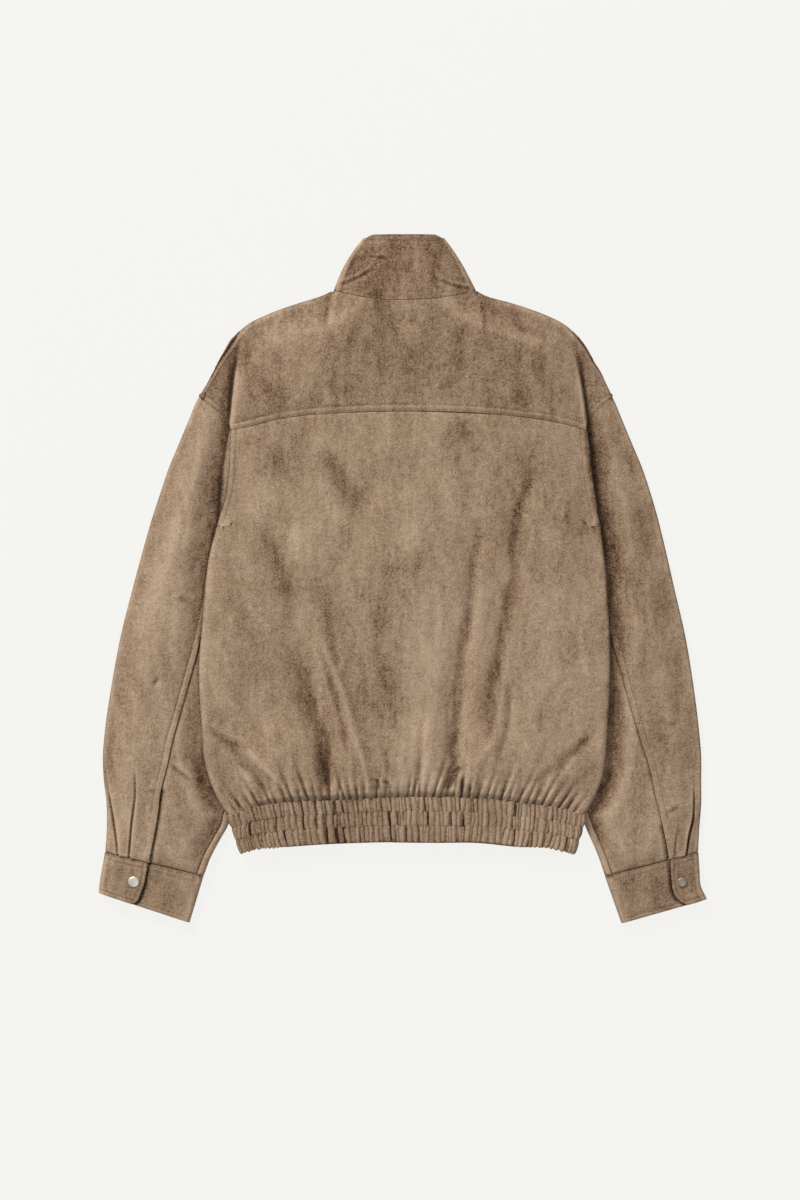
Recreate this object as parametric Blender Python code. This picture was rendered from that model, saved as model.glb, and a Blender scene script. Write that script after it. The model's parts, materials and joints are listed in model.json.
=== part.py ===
"""Suede blouson laid flat on a table with its back upwards.

Axes: +Z up from the table, +Y from hem to collar, the wearer's left is -X.
Sizes are in millimetres and become metres when a mesh is made.
Side +1 is the wearer's right sleeve, side -1 the left one; tables hold positive distances from
the centre line in a left and a right column.
"""
import bpy
import numpy as np

# ---- Sizes -------------------------------------------------------------------------------------
CLOTH = 1.4          # one layer of suede
BAND = 2.4           # doubled bands: collar, cuffs, waistband
SEAM = 0.35          # space between two pieces at a seam
LAP = 12.5           # each front passes the centre line by this much
UNDER_BODY = 7.8     # top of the sleeve where the body lies on it
SHOULDER = 11.0      # height of the folded shoulder edge
OVER_SLEEVE = 8.2    # lower face of the body where it lies on the sleeve
EDGE_TOP = 16.8      # top of the folded side edge of the body
HEM_TOP = 15.0       # top of the body at the hem seam
BODY_SWELL = 1.7     # the middle of the back stands this much above its edge
SLEEVE_CROWN = 14.2  # top of the sleeve between its two folds
CUFF_TOP = 11.0      # top of the flattened cuff
STEP = 4.5           # width of the steep side of the body's crease on the yoke
HEM_PUFF = 5.5       # fullness that stands above the hem seam
STUD_RADIUS = 6.2
STUD_HEIGHT = 1.2
FRONT_LIFT = 1.3     # the front lap stands off the table by a stud
UNDERARM = 8.0       # underarm seam to inner fold of the sleeve

# ---- Tables ------------------------------------------------------------------------------------
# Folded outer edge of the garment: y, left x, right x
OUTLINE = (
    (337.5, 83.0, 83.0), (329.3, 101.2, 99.5), (323.6, 120.0, 121.0), (311.2, 155.6, 158.5),
    (297.2, 184.3, 187.8), (283.1, 197.1, 201.8), (269.1, 206.5, 212.4), (255.1, 215.9, 220.5),
    (241.0, 224.1, 229.9), (227.0, 232.2, 236.9), (212.9, 241.0, 243.9), (184.9, 253.3, 255.6),
    (156.8, 265.0, 267.3), (128.7, 276.7, 279.0), (100.6, 286.1, 288.4), (72.5, 295.4, 296.6),
    (44.5, 303.6, 303.6), (-11.7, 318.8, 316.5), (-67.9, 332.9, 329.4), (-124.0, 343.4, 338.7),
    (-180.2, 351.6, 345.7), (-208.3, 353.9, 348.1), (-236.3, 352.8, 348.1),
    (-264.4, 349.6, 348.1), (-292.5, 349.2, 345.9), (-321.4, 350.9, 344.3),
)
# Folded edge of the body over the sleeve: y, left x, right x
EDGE = (
    (292.5, 184.3, 191.3), (280.2, 191.8, 196.6), (251.9, 198.1, 204.1), (216.4, 203.1, 211.1),
    (188.4, 205.9, 214.7), (160.3, 209.4, 217.4), (131.0, 213.1, 219.5), (95.9, 216.4, 224.4),
    (60.8, 219.4, 229.4), (32.8, 226.9, 232.9), (5.8, 231.4, 235.8), (-23.4, 234.4, 237.6),
    (-55.0, 236.6, 239.8), (-85.4, 239.6, 240.6), (-114.7, 240.5, 240.7),
    (-152.1, 238.9, 239.1), (-182.5, 236.7, 237.5), (-212.9, 234.4, 235.2),
    (-237.5, 227.7, 230.5), (-258.6, 218.7, 221.9), (-277.3, 207.8, 211.2),
)
# Back armhole seam on the body: y, left x, right x
BACK_ARMHOLE = (
    (173.0, 203.0, 211.6), (119.3, 205.3, 216.6), (95.4, 208.3, 220.2), (74.9, 214.7, 225.2),
    (61.0, 219.0, 229.0),
)
# Front armhole seam on the table: y, left x, right x
FRONT_ARMHOLE = (
    (212.0, 238.0, 241.0), (185.0, 222.0, 226.0), (150.0, 206.0, 211.0), (110.0, 195.0, 200.0),
    (75.0, 187.5, 191.5), (52.0, 184.0, 186.0),
)
# Inner fold of the sleeve: y, left x, right x
INNER = (
    (186.0, 206.5, 214.5), (168.0, 203.0, 211.0), (140.0, 198.0, 204.0), (108.0, 192.0, 197.0),
    (75.0, 186.0, 190.0), (44.5, 181.0, 183.0), (-25.7, 167.0, 168.0), (-95.9, 162.0, 162.0),
    (-166.0, 166.7, 167.0), (-224.6, 182.0, 183.0), (-262.0, 198.0, 200.0),
    (-277.3, 204.0, 207.0), (-289.0, 206.5, 211.0), (-306.5, 216.0, 218.7),
    (-326.4, 226.5, 227.0), (-349.4, 235.4, 235.0),
)
# Seam up the back of the sleeve, running into the cuff opening: y, left x, right x
BACK_SEAM = (
    (186.0, 206.9, 214.9), (168.0, 203.6, 211.6), (140.0, 204.0, 211.0), (100.0, 207.0, 213.0),
    (60.0, 213.0, 219.0), (20.0, 222.0, 227.0), (-20.0, 228.0, 232.0), (-55.0, 235.0, 238.0),
    (-81.0, 240.7, 245.0), (-104.0, 247.0, 251.8), (-133.0, 255.0, 259.3),
    (-164.0, 263.5, 268.3), (-193.0, 271.5, 277.2), (-221.0, 277.5, 286.2),
    (-251.0, 285.0, 292.5), (-276.0, 288.0, 298.6), (-304.0, 293.0, 304.9),
    (-333.0, 299.0, 310.0),
)
# Rows across the sleeve: y at the outer fold, y at the inner fold
SLEEVE_ROWS = (
    (212.5, 186.0), (200.0, 168.0), (180.0, 140.0), (152.0, 108.0), (116.0, 75.0),
    (92.0, 53.0), (80.0, 44.5), (30.0, 2.0), (-28.0, -52.0), (-88.0, -112.0),
    (-148.0, -171.0), (-200.0, -224.0), (-238.0, -262.0), (-270.0, -295.0), (-297.0, -323.0),
    (-320.6, -348.6),
)
FIRST_WHOLE_ROW = 6  # from this row on the sleeve is a closed tube
# Rows of the back panel: share of the way from yoke seam to hem
BACK_ROWS = (0.0, 0.08, 0.165, 0.21, 0.249, 0.285, 0.37, 0.46, 0.55, 0.64, 0.73, 0.82,
             0.9, 0.955, 1.0)
# Distances from the centre line at which the front neckline has a column
NECK_STATIONS = (77.5, 66.0, 54.0, 40.0, 26.0, 15.5, 1.5, -12.5)
# Heights at which the front's shoulder edge has a column
SHOULDER_STATIONS = (209.0, 232.0, 252.0, 271.0, 284.0, 297.0, 306.0, 317.0, 327.0)
# Neck seam, yoke seam, hem seam and lower edge of the waistband: x, y
NECK = ((-83.0, 337.0), (-56.7, 330.2), (-24.0, 325.3), (8.8, 325.3), (41.5, 327.7),
        (66.1, 332.6), (83.0, 338.0))
YOKE = ((-203.0, 172.5), (-185.4, 176.0), (-157.4, 183.3), (-134.0, 187.8), (-87.2, 192.0),
        (-28.7, 194.6), (18.1, 194.8), (64.9, 193.6), (111.7, 190.7), (135.1, 188.4),
        (181.9, 181.3), (212.0, 172.5))
HEM = ((-207.8, -277.3), (-204.0, -277.3), (-199.0, -275.0), (-191.0, -271.8),
       (-182.3, -269.5), (-155.4, -264.1),
       (-128.6, -261.0), (-95.0, -260.0), (-54.6, -258.0), (-14.4, -256.0), (46.9, -255.6),
       (99.2, -257.9), (144.0, -263.1), (181.2, -268.3),
       (195.0, -271.8), (202.5, -275.0), (207.4, -277.3), (211.2, -277.3))
BAND_EDGE = ((-191.6, -320.6), (-175.6, -316.4), (-148.7, -313.1), (-108.5, -309.7),
             (-68.1, -307.7), (-14.6, -306.3), (39.5, -307.1), (84.2, -307.1),
             (129.1, -311.6), (178.3, -316.1), (199.1, -321.3))
# Side edges of the waistband: share of its height, left x, right x
BAND_SIDE = ((0.0, 207.8, 211.2), (0.3, 201.7, 208.1), (0.6, 197.7, 204.2), (1.0, 191.6, 199.1))
# Side edges of the collar: y, left x, right x
COLLAR_SIDE = ((337.5, 83.0, 83.5), (351.6, 77.4, 76.4), (365.0, 71.4, 69.4),
               (386.0, 58.3, 56.2), (398.5, 48.5, 46.8))
# Gathers along the hem: x at the hem, depth, reach up the back, half width at the hem
GATHERS = (
    (-188.0, 2.2, 34.0, 4.5), (-178.0, 1.8, 26.0, 4.0), (-160.0, 4.2, 70.0, 6.5),
    (-145.0, 2.2, 30.0, 4.5), (-130.0, 2.6, 40.0, 5.0), (-114.0, 2.2, 30.0, 4.5),
    (-87.0, 4.6, 110.0, 7.0), (-64.0, 2.4, 36.0, 5.0), (-44.0, 2.6, 34.0, 4.5),
    (-34.0, 2.0, 24.0, 4.0), (-18.0, 2.2, 30.0, 4.5), (9.0, 3.0, 44.0, 5.5),
    (18.5, 2.0, 24.0, 4.0), (49.0, 5.0, 100.0, 7.5), (65.0, 2.0, 26.0, 4.0),
    (78.0, 2.2, 30.0, 4.5), (105.0, 3.2, 40.0, 5.5), (123.0, 3.0, 36.0, 5.0),
    (146.0, 2.4, 40.0, 5.0), (163.0, 2.2, 34.0, 4.5), (184.0, 2.2, 30.0, 4.5),
)
# Long soft folds of the back: x and y at the top, x and y at the foot, half width, depth
FOLDS = (
    (-160.0, 43.0, -118.0, -130.0, 20.0, 3.2), (-118.0, -130.0, -88.0, -235.0, 15.0, 3.0),
    (88.0, 75.0, 66.0, -118.0, 18.0, 2.6), (66.0, -118.0, 48.0, -235.0, 14.0, 3.0),
    (136.0, 118.0, 98.0, -170.0, 16.0, 1.8), (218.0, -184.0, 160.0, -235.0, 9.0, 2.2),
    (-213.0, -187.0, -165.0, -235.0, 9.0, 2.2), (-80.0, 118.0, -52.0, 54.0, 14.0, 1.2),
)
# Pleats into the cuff on the outer sleeve: share of the way from outer fold to back seam, depth
PLEATS = ((0.2, 2.0), (0.6, 2.2))
PLEAT_REACH = 80.0
# Cuff: side, outer and inner end of its top edge, outer and inner end of its lower edge
CUFFS = (
    (-1, (351.2, -321.3), (235.6, -349.3), (358.5, -368.5), (251.9, -403.6)),
    (1, (344.6, -321.3), (234.9, -349.3), (354.4, -376.0), (254.2, -404.4)),
)
# Lapped end of the cuff: share of the cuff's height, set-back from the seam line
CUFF_END = ((0.0, 0.0), (0.3, 0.6), (0.55, 3.0), (0.75, 7.5), (0.9, 14.0), (1.0, 24.0))
CUFF_STUDS = ((-1, 317.0, -355.3), (1, 324.7, -355.7))
FRONT_STUD_Y = (232.0, 140.0, 48.0, -44.0, -136.0, -228.0)
RUFFLES = 88
RUFFLE_HEIGHT = 1.1
CHANNELS = 3

# ---- Points along the section paths before they are sampled ------------------------------------
TOP_STEPS = 59                         # over the top of a sleeve, and as many along the table
CAP_STEPS = 8                          # round a quarter of a fold
FOLD_AT = TOP_STEPS + CAP_STEPS        # the outer fold of a sleeve
TABLE_AT = FOLD_AT + CAP_STEPS + 1     # where the sleeve meets the table
SIDE_COUNT = 25                        # round the folded side edge of the body
FRONT_COUNT = 90                       # from the front lap to a side of the collar or waistband
TURN_COUNT = 23                        # round a side of the collar or waistband
BACK_COUNT = 700                       # over the back of the collar or waistband

# ---- Colours: linear base colour, roughness, metallic ------------------------------------------
SUEDE = ((0.245, 0.160, 0.105), 0.95, 0.0)
SUEDE_BAND = ((0.230, 0.150, 0.098), 0.95, 0.0)
STUD_METAL = ((0.62, 0.58, 0.50), 0.38, 0.9)


def smooth(share):
    """Eases from 0 to 1."""
    share = np.clip(share, 0.0, 1.0)
    return share * share * (3.0 - 2.0 * share)


def across(table, side, y):
    """Distance from the centre line at height y, from a table of y, left and right."""
    rows = np.array(table)[np.argsort([row[0] for row in table])]
    return np.interp(y, rows[:, 0], rows[:, 1 if side < 0 else 2])


def along(line, x):
    """Height y at x on a seam given as x, y points."""
    points = np.array(line)
    return np.interp(x, points[:, 0], points[:, 1])


def either(table, x, y):
    """Distance from the centre line on whichever side each x lies."""
    return np.where(x < 0.0, across(table, -1, y), across(table, 1, y))


def outline_distance(x, y):
    """Shortest distance from points to the folded outer edge."""
    x, y = np.broadcast_arrays(np.asarray(x, float), np.asarray(y, float))
    best = np.full(x.shape, 1.0e6)
    rows = np.array(OUTLINE)
    for side, column in ((-1, 1), (1, 2)):
        for a, b in zip(rows[:-1], rows[1:]):
            start = np.array((side * a[column], a[0]))
            run = np.array((side * b[column], b[0])) - start
            share = ((x - start[0]) * run[0] + (y - start[1]) * run[1]) / run.dot(run)
            share = np.clip(share, 0.0, 1.0)
            away = np.hypot(x - start[0] - share * run[0], y - start[1] - share * run[1])
            best = np.minimum(best, away)
    return best


def fold_height(y):
    """Thickness of the flattened fold along the outer edge."""
    return np.interp(y, (-349.0, -290.0, 186.0, 292.5), (CUFF_TOP, UNDER_BODY, UNDER_BODY, SHOULDER))


def sleeve_top(x, y):
    """Top of the sleeve and of the part of the yoke that lies outside the body's crease."""
    base = fold_height(y)
    rise = smooth((outline_distance(x, y) - base / 2.0) / 34.0)
    inside = np.where(y > -277.3, either(EDGE, x, y), either(INNER, x, y) + 3.0)
    fall = smooth((np.abs(x) - inside - 7.0) / 26.0)
    return base + (SLEEVE_CROWN - base) * rise * fall


def fold_troughs(x, y):
    """Depth of the long soft folds of the back."""
    total = np.zeros(np.broadcast(x, y).shape)
    for x_top, y_top, x_foot, y_foot, half, depth in FOLDS:
        share = np.clip((y - y_top) / (y_foot - y_top), 0.0, 1.0)
        middle = x_top + (x_foot - x_top) * share
        fade = np.exp(-((y - y_top - (y_foot - y_top) * share) / 24.0) ** 2)
        ends = smooth(share / 0.25 + 0.35)
        total += depth * ends * fade * np.exp(-((x - middle) / half) ** 2)
    return total


def gather_troughs(x, y):
    """Depth of the gathers that run up from the hem seam."""
    total = np.zeros(np.broadcast(x, y).shape)
    above = np.maximum(y - along(HEM, x), 0.0)
    widen = either(EDGE, x, y) / 208.0
    for at, depth, reach, half in GATHERS:
        spread = half * (1.0 + above / 60.0)
        total += depth * np.exp(-above / reach) * np.exp(-((x - at * widen) / spread) ** 2)
    return total


def back_top(x, y):
    """Top of the back inside the body's folded edges."""
    inside = either(EDGE, x, y) - np.abs(x)
    shoulder = smooth((outline_distance(x, y) - SHOULDER / 2.0) / 34.0)
    edge = np.interp(y, (-277.3, -245.0), (HEM_TOP, EDGE_TOP))
    above = y - along(HEM, x)
    swell = smooth((inside - 4.0) / 60.0)
    puff = HEM_PUFF * swell * smooth((120.0 - above) / 90.0)
    full = edge + BODY_SWELL * smooth(inside / 90.0) + puff
    troughs = (fold_troughs(x, y) + gather_troughs(x, y)) * smooth((inside - 6.0) / 22.0)
    seam = smooth((above - 1.0) / 17.0)
    body = HEM_TOP + (full - HEM_TOP) * seam - troughs * (0.45 + 0.55 * seam)
    return SHOULDER + (body - SHOULDER) * shoulder


def yoke_top(x, y):
    """Top of the yoke: the body's level, the sleeve's level and the crease between them."""
    inside = either(EDGE, x, y) - np.abs(x)
    level = smooth(inside / STEP)
    return sleeve_top(x, y) + (back_top(x, y) - sleeve_top(x, y)) * level


def front_bottom(x, y, over):
    """Lower face of the fronts: flat on the table, lifted over the sleeve by the share over."""
    start = either(INNER, x, y) - 16.0
    return OVER_SLEEVE * over * smooth((np.abs(x) - start) / 14.0)


def measure(path):
    """Running length along a path of points."""
    steps = np.linalg.norm(np.diff(path, axis=0), axis=1)
    return np.concatenate(([0.0], np.cumsum(steps)))


def sample(path, stations):
    """Points of a path at given running lengths."""
    reach = measure(path)
    return np.stack([np.interp(stations, reach, path[:, k]) for k in range(3)], axis=1)


def place(total, head, middle, tail):
    """Running lengths: fixed steps from each end and even steps between them."""
    head = np.array(head, float)
    tail = np.array(tail, float)
    shrink = min(1.0, 0.8 * total / (head[-1] + tail[-1] + 1.0e-6))
    head = head * shrink
    tail = tail * shrink
    between = np.linspace(head[-1], total - tail[-1], middle + 2)[1:-1]
    return np.concatenate((head, between, total - tail[::-1]))


def grid_normals(grid):
    """Unit normal at every point of a grid of points."""
    normal = np.cross(np.gradient(grid, axis=0), np.gradient(grid, axis=1))
    return normal / np.linalg.norm(normal, axis=2, keepdims=True)


def material(name, look):
    """Plain surface of one colour."""
    colour, roughness, metallic = look
    made = bpy.data.materials.new(name)
    made.use_nodes = True
    shader = made.node_tree.nodes["Principled BSDF"]
    shader.inputs["Base Color"].default_value = (*colour, 1.0)
    shader.inputs["Roughness"].default_value = roughness
    shader.inputs["Metallic"].default_value = metallic
    return made


def solid(name, points, faces, look):
    """Object of triangles in metres, with its faces turned outwards."""
    points = np.asarray(points, float) * 0.001
    faces = np.asarray(faces, int)
    a, b, c = (points[faces[:, k]] for k in range(3))
    if np.einsum("ij,ij->i", a, np.cross(b, c)).sum() < 0.0:
        faces = faces[:, ::-1]
    mesh = bpy.data.meshes.new(name)
    mesh.from_pydata(points.tolist(), [], faces.tolist())
    mesh.polygons.foreach_set("use_smooth", [True] * len(mesh.polygons))
    mesh.set_sharp_from_angle(angle=0.9)
    mesh.update()
    made = bpy.data.objects.new(name, mesh)
    made.data.materials.append(material(name + "_surface", look))
    bpy.context.scene.collection.objects.link(made)
    return made


def grid_faces(rows, columns, start):
    """Two triangles for every cell of a grid whose first point has index start."""
    corner = start + np.arange(rows - 1)[:, None] * columns + np.arange(columns - 1)
    a = corner.ravel()
    b = a + 1
    c = b + columns
    d = a + columns
    return np.concatenate((np.stack((a, b, c), 1), np.stack((a, c, d), 1)))


def rim(grid_shape, start):
    """Indices round the border of a grid, in order."""
    rows, columns = grid_shape
    index = start + np.arange(rows * columns).reshape(rows, columns)
    return np.concatenate((index[0, :-1], index[:-1, -1], index[-1, :0:-1], index[:0:-1, 0]))


def wall(name, outer, thickness, look, facing):
    """Closed wall: an outer grid, the same grid moved inwards, and the rim between them.

    facing is +1 where the grid's own normal looks out of the garment and -1 where it looks in.
    """
    inner = outer - facing * thickness * grid_normals(outer)
    rows, columns = outer.shape[:2]
    count = rows * columns
    outer_rim = rim((rows, columns), 0)
    inner_rim = outer_rim + count
    next_outer = np.roll(outer_rim, -1)
    next_inner = np.roll(inner_rim, -1)
    faces = np.concatenate((
        grid_faces(rows, columns, 0),
        grid_faces(rows, columns, count)[:, ::-1],
        np.stack((outer_rim, inner_rim, next_outer), 1),
        np.stack((next_outer, inner_rim, next_inner), 1),
    ))
    points = np.concatenate((outer.reshape(-1, 3), inner.reshape(-1, 3)))
    return solid(name, points, faces, look)


# ---- Sleeves -----------------------------------------------------------------------------------
def row_line(side, row):
    """Outer and inner end of a sleeve row in the plane, as distances from the centre line."""
    y_outer, y_inner = SLEEVE_ROWS[row]
    outer = np.array((across(OUTLINE, side, y_outer), y_outer))
    inner = np.array((across(INNER, side, y_inner), y_inner))
    return outer, inner


def row_points(side, row, reach):
    """Points in the plane at given distances from the outer end of a sleeve row."""
    outer, inner = row_line(side, row)
    unit = (inner - outer) / np.linalg.norm(inner - outer)
    return outer + np.asarray(reach)[:, None] * unit


def crossing(side, row, table, clear):
    """Distance along a sleeve row at which it reaches a seam given by y, left and right."""
    outer, inner = row_line(side, row)
    reach = np.linspace(0.0, np.linalg.norm(inner - outer), 600)
    points = row_points(side, row, reach)
    beyond = points[:, 0] - across(table, side, points[:, 1]) - clear
    return np.interp(0.0, -beyond, reach)


def sleeve_section(side, row):
    """Loop round the sleeve on one row: reach, height and landmarks.

    It starts at the inner end of the top, runs outwards to the outer fold, back along the table
    and round the inner fold. Returns the path and the running length of its outer fold.
    """
    outer, inner = row_line(side, row)
    width = np.linalg.norm(inner - outer)
    radius = float(fold_height(SLEEVE_ROWS[row][0])) / 2.0
    probe = row_points(side, row, (0.0, 6.0))
    rate = float(outline_distance(side * probe[1:, 0], probe[1:, 1])[0]) / 6.0
    turn = np.linspace(0.0, np.pi / 2.0, CAP_STEPS + 1)
    cap = radius / rate * (1.0 - np.cos(turn))
    whole = row >= FIRST_WHOLE_ROW
    inner_radius = float(fold_height(SLEEVE_ROWS[row][1])) / 2.0
    top_end = width - inner_radius if whole else width
    top = np.linspace(top_end, cap[-1], TOP_STEPS + 1)[:-1]
    reach = np.concatenate((top, cap[::-1], cap[1:]))
    flat = row_points(side, row, reach)
    away = outline_distance(side * flat[:, 0], flat[:, 1])
    height = sleeve_top(side * flat[:, 0], flat[:, 1])
    near = np.sqrt(np.maximum(radius ** 2 - (radius - np.minimum(away, radius)) ** 2, 0.0))
    height = np.where(away < radius, radius + near, height)
    under = np.arange(len(reach)) > FOLD_AT
    height = np.where(under, radius - near, height)
    height[FOLD_AT] = radius
    bottom = np.linspace(cap[-1], top_end, TOP_STEPS + 1)[1:]
    reach = np.concatenate((reach, bottom))
    height = np.concatenate((height, np.zeros(TOP_STEPS)))
    turn = np.linspace(0.0, np.pi, 17)[1:]
    if whole:
        reach = np.concatenate((reach, top_end + inner_radius * np.sin(turn)))
        height = np.concatenate((height, inner_radius * (1.0 - np.cos(turn))))
        past = np.linspace(top_end, width - UNDERARM, 6)[1:]
        flat = row_points(side, row, past)
        reach = np.concatenate((reach, past))
        height = np.concatenate((height, sleeve_top(side * flat[:, 0], flat[:, 1])))
    flat = row_points(side, row, reach)
    path = np.column_stack((side * flat[:, 0], flat[:, 1], height))
    return path, measure(path)[FOLD_AT], width


def pleat_depth(side, row, share):
    """Depth of the cuff pleats at a share of the way from outer fold to back seam."""
    above = SLEEVE_ROWS[row][0] - SLEEVE_ROWS[-1][0]
    fade = smooth(1.0 - above / PLEAT_REACH)
    total = 0.0
    for at, depth in PLEATS:
        total += depth * max(0.0, 1.0 - abs(share - at) / 0.12)
    return total * fade


def sleeves(side, word):
    """Outer and under sleeve of one side."""
    outer_grid = []
    under_grid = []
    for row in range(len(SLEEVE_ROWS)):
        path, fold, width = sleeve_section(side, row)
        seam = crossing(side, row, BACK_SEAM, 0.0)
        reach = measure(path)
        plan = np.hypot(side * path[:, 0] - row_line(side, row)[0][0],
                        path[:, 1] - row_line(side, row)[0][1])
        over = slice(0, TOP_STEPS + 1)
        first = np.interp(-(seam - SEAM / 2.0), -plan[over], reach[over])
        if row < FIRST_WHOLE_ROW:
            stop = crossing(side, row, FRONT_ARMHOLE, SEAM)
            stop = max(stop, plan[TABLE_AT] + 0.6)
            last = np.interp(stop, plan[TABLE_AT:], reach[TABLE_AT:])
        else:
            last = reach[-1]
        shares = np.array((1.0, 0.86, 0.72, 0.6, 0.48, 0.34, 0.2, 0.1))
        radius = float(fold_height(SLEEVE_ROWS[row][0])) / 2.0
        quarter = fold - radius * 1.55
        upper = first + (quarter - first) * (1.0 - shares)
        bend = fold + radius * 1.5708 * np.array((-1.0, -0.5, 0.0, 0.5, 1.0))
        bend[0] = max(bend[0], upper[-1] + 0.3)
        tail_start = bend[-1]
        room = last - tail_start
        tail = np.array((0.0, 4.1, 7.16, 10.2, 13.3, 16.4, 22.0))
        tail = tail * min(1.0, 0.75 * room / 22.0)
        lower = np.linspace(tail_start, last - tail[-1], 6)[1:-1]
        stations = np.concatenate((upper, bend, lower, last - tail[::-1]))
        line = sample(path, stations)
        for k, share in enumerate(shares):
            line[k, 2] -= pleat_depth(side, row, share)
        if row == 0:
            push = line[0, :2] - line[7, :2]
            push = np.array((push[1], -push[0])) / np.linalg.norm(push)
            push *= -np.sign(push[1]) * SEAM
            line[:, :2] += push
        if row == len(SLEEVE_ROWS) - 1:
            line[:, 1] += SEAM
        outer_grid.append(line)
        if row >= 2:
            end = width - (0.0 if row < FIRST_WHOLE_ROW else UNDERARM + 1.6 * SEAM)
            spots = np.linspace(seam + SEAM / 2.0, end, 6)
            flat = row_points(side, row, spots)
            heights = sleeve_top(side * flat[:, 0], flat[:, 1])
            line = np.column_stack((side * flat[:, 0], flat[:, 1], heights))
            if row == len(SLEEVE_ROWS) - 1:
                line[:, 1] += SEAM
            under_grid.append(line)
    wall("sleeve_outer_" + word, np.array(outer_grid), CLOTH, SUEDE, side)
    wall("sleeve_under_" + word, np.array(under_grid), CLOTH, SUEDE, -side)


def armhole_seam(side, y):
    """Back armhole seam: distance from the centre line, straight from row to row of the back."""
    rows = np.array([back_side(share) for share in BACK_ROWS[:5]])[::-1]
    return np.interp(y, rows, across(BACK_ARMHOLE, side, rows))


def sleeve_head(side, word):
    """Back of the sleeve head, wrapped round the folded edge of the body."""
    valley = np.array((across(INNER, side, 186.0), 186.0))
    foot = np.array((abs(along_x(YOKE, side)), 172.5))
    steps = np.linspace(1.0, 0.0, 8)
    first = valley + steps[:, None] * (foot - valley)
    first_z = yoke_top(side * first[:, 0], first[:, 1])
    first_x = side * (first[:, 0] + 3.5 * SEAM * steps)
    first = np.column_stack((first_x, first[:, 1] - 5.0 * SEAM, first_z + 0.4))
    grid = [first]
    rows = [back_side(share) for share in BACK_ROWS[:5]]
    levels = []
    for a, b in zip(rows[:-1], rows[1:]):
        levels += [a, (a + b) / 2.0]
    levels[0] = 167.0
    levels.append(rows[-1] + 4.0)
    for y in levels:
        edge = across(EDGE, side, y)
        radius = (EDGE_TOP - OVER_SLEEVE) / 2.0
        turn = np.linspace(np.pi / 2.0, -np.pi / 2.0, 33)
        centre = edge - radius
        seam = armhole_seam(side, y)
        valley = across(INNER, side, y) + 0.5
        x = np.concatenate(((min(seam, centre) - 0.5,), centre + radius * np.cos(turn), (valley,)))
        z = np.concatenate(((0.0,), radius * np.sin(turn), (-radius,))) + OVER_SLEEVE + radius
        z[0] = EDGE_TOP
        path = np.column_stack((side * x, np.full(len(x), y), z))
        reach = measure(path)
        outward = np.interp(seam, x[:18], reach[:18]) + 3.0 * SEAM
        stations = place(reach[-1] - outward, (0.0, 0.8, 3.2), 4, (0.0,)) + outward
        grid.append(sample(path, stations))
    wall("sleeve_head_" + word, np.array(grid), CLOTH, SUEDE, side)


# ---- Body --------------------------------------------------------------------------------------
def neck_and_shoulder():
    """Top edge of the yoke from armhole to armhole, and the seam below it, column by column.

    Returns for each column: top point, lower point, distance inside the crease, share of the
    crease's curve, and whether the top point lies on a fold.
    """
    columns = []
    rows = np.array(OUTLINE)
    for side, column in ((-1, 1), (1, 2)):
        half = []
        corner = np.array((across(OUTLINE, side, 212.5), 212.5))
        valley = np.array((across(INNER, side, 186.0), 186.0))
        unit = (valley - corner) / np.linalg.norm(valley - corner)
        lift = np.array((unit[1], -unit[0]))
        lift *= np.sign(lift[1]) * 2.4 * SEAM
        edge_rows = rows[(rows[:, 0] > 213.5) & (rows[:, 0] < 337.0)]
        for share in (0.0, 0.09, 0.27, 0.5, 0.75):
            y = 213.6 + (291.0 - 213.6) * share
            top = np.array((across(OUTLINE, side, y), y))
            low = corner + (0.1 + 0.9 * share) * (valley - corner) + lift
            half.append((top, low, -1.0, share ** 2, True))
        crease = ((0.0, 294.0), (1.4, 296.2), (2.8, 298.0), (STEP, 300.0))
        foot = np.array((abs(along_x(YOKE, side)), 172.5))
        for k, (inside, y) in enumerate(crease):
            top = np.array((across(OUTLINE, side, y), y))
            share = k / (len(crease) - 1.0)
            low = valley + lift + share * (foot + np.array((0.0, SEAM)) - valley - lift)
            half.append((top, low, inside, 1.0, True))
        for share in (0.2, 0.4, 0.6, 0.8, 1.0):
            y = 300.0 + (336.8 - 300.0) * share
            top = np.array((across(OUTLINE, side, y), y))
            x = foot[0] + (118.0 - foot[0]) * share
            low = np.array((x, along(YOKE, side * x) + SEAM))
            half.append((top, low, -1.0, (1.0 - share) ** 3, True))
        half = [(top * (side, 1.0), low * (side, 1.0), inside, curve, fold)
                for top, low, inside, curve, fold in half]
        columns.append(half)
    middle = []
    for share in np.linspace(-0.96, 0.96, 9):
        x = 81.5 * share
        top = np.array((x, along(NECK, x) - SEAM))
        x = 110.0 * share
        low = np.array((x, along(YOKE, x) + SEAM))
        middle.append((top, low, -1.0, 0.0, False))
    return columns[0] + middle + columns[1][::-1]


def along_x(line, side):
    """x of the first or last point of a seam."""
    return line[0][0] if side < 0 else line[-1][0]


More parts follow.
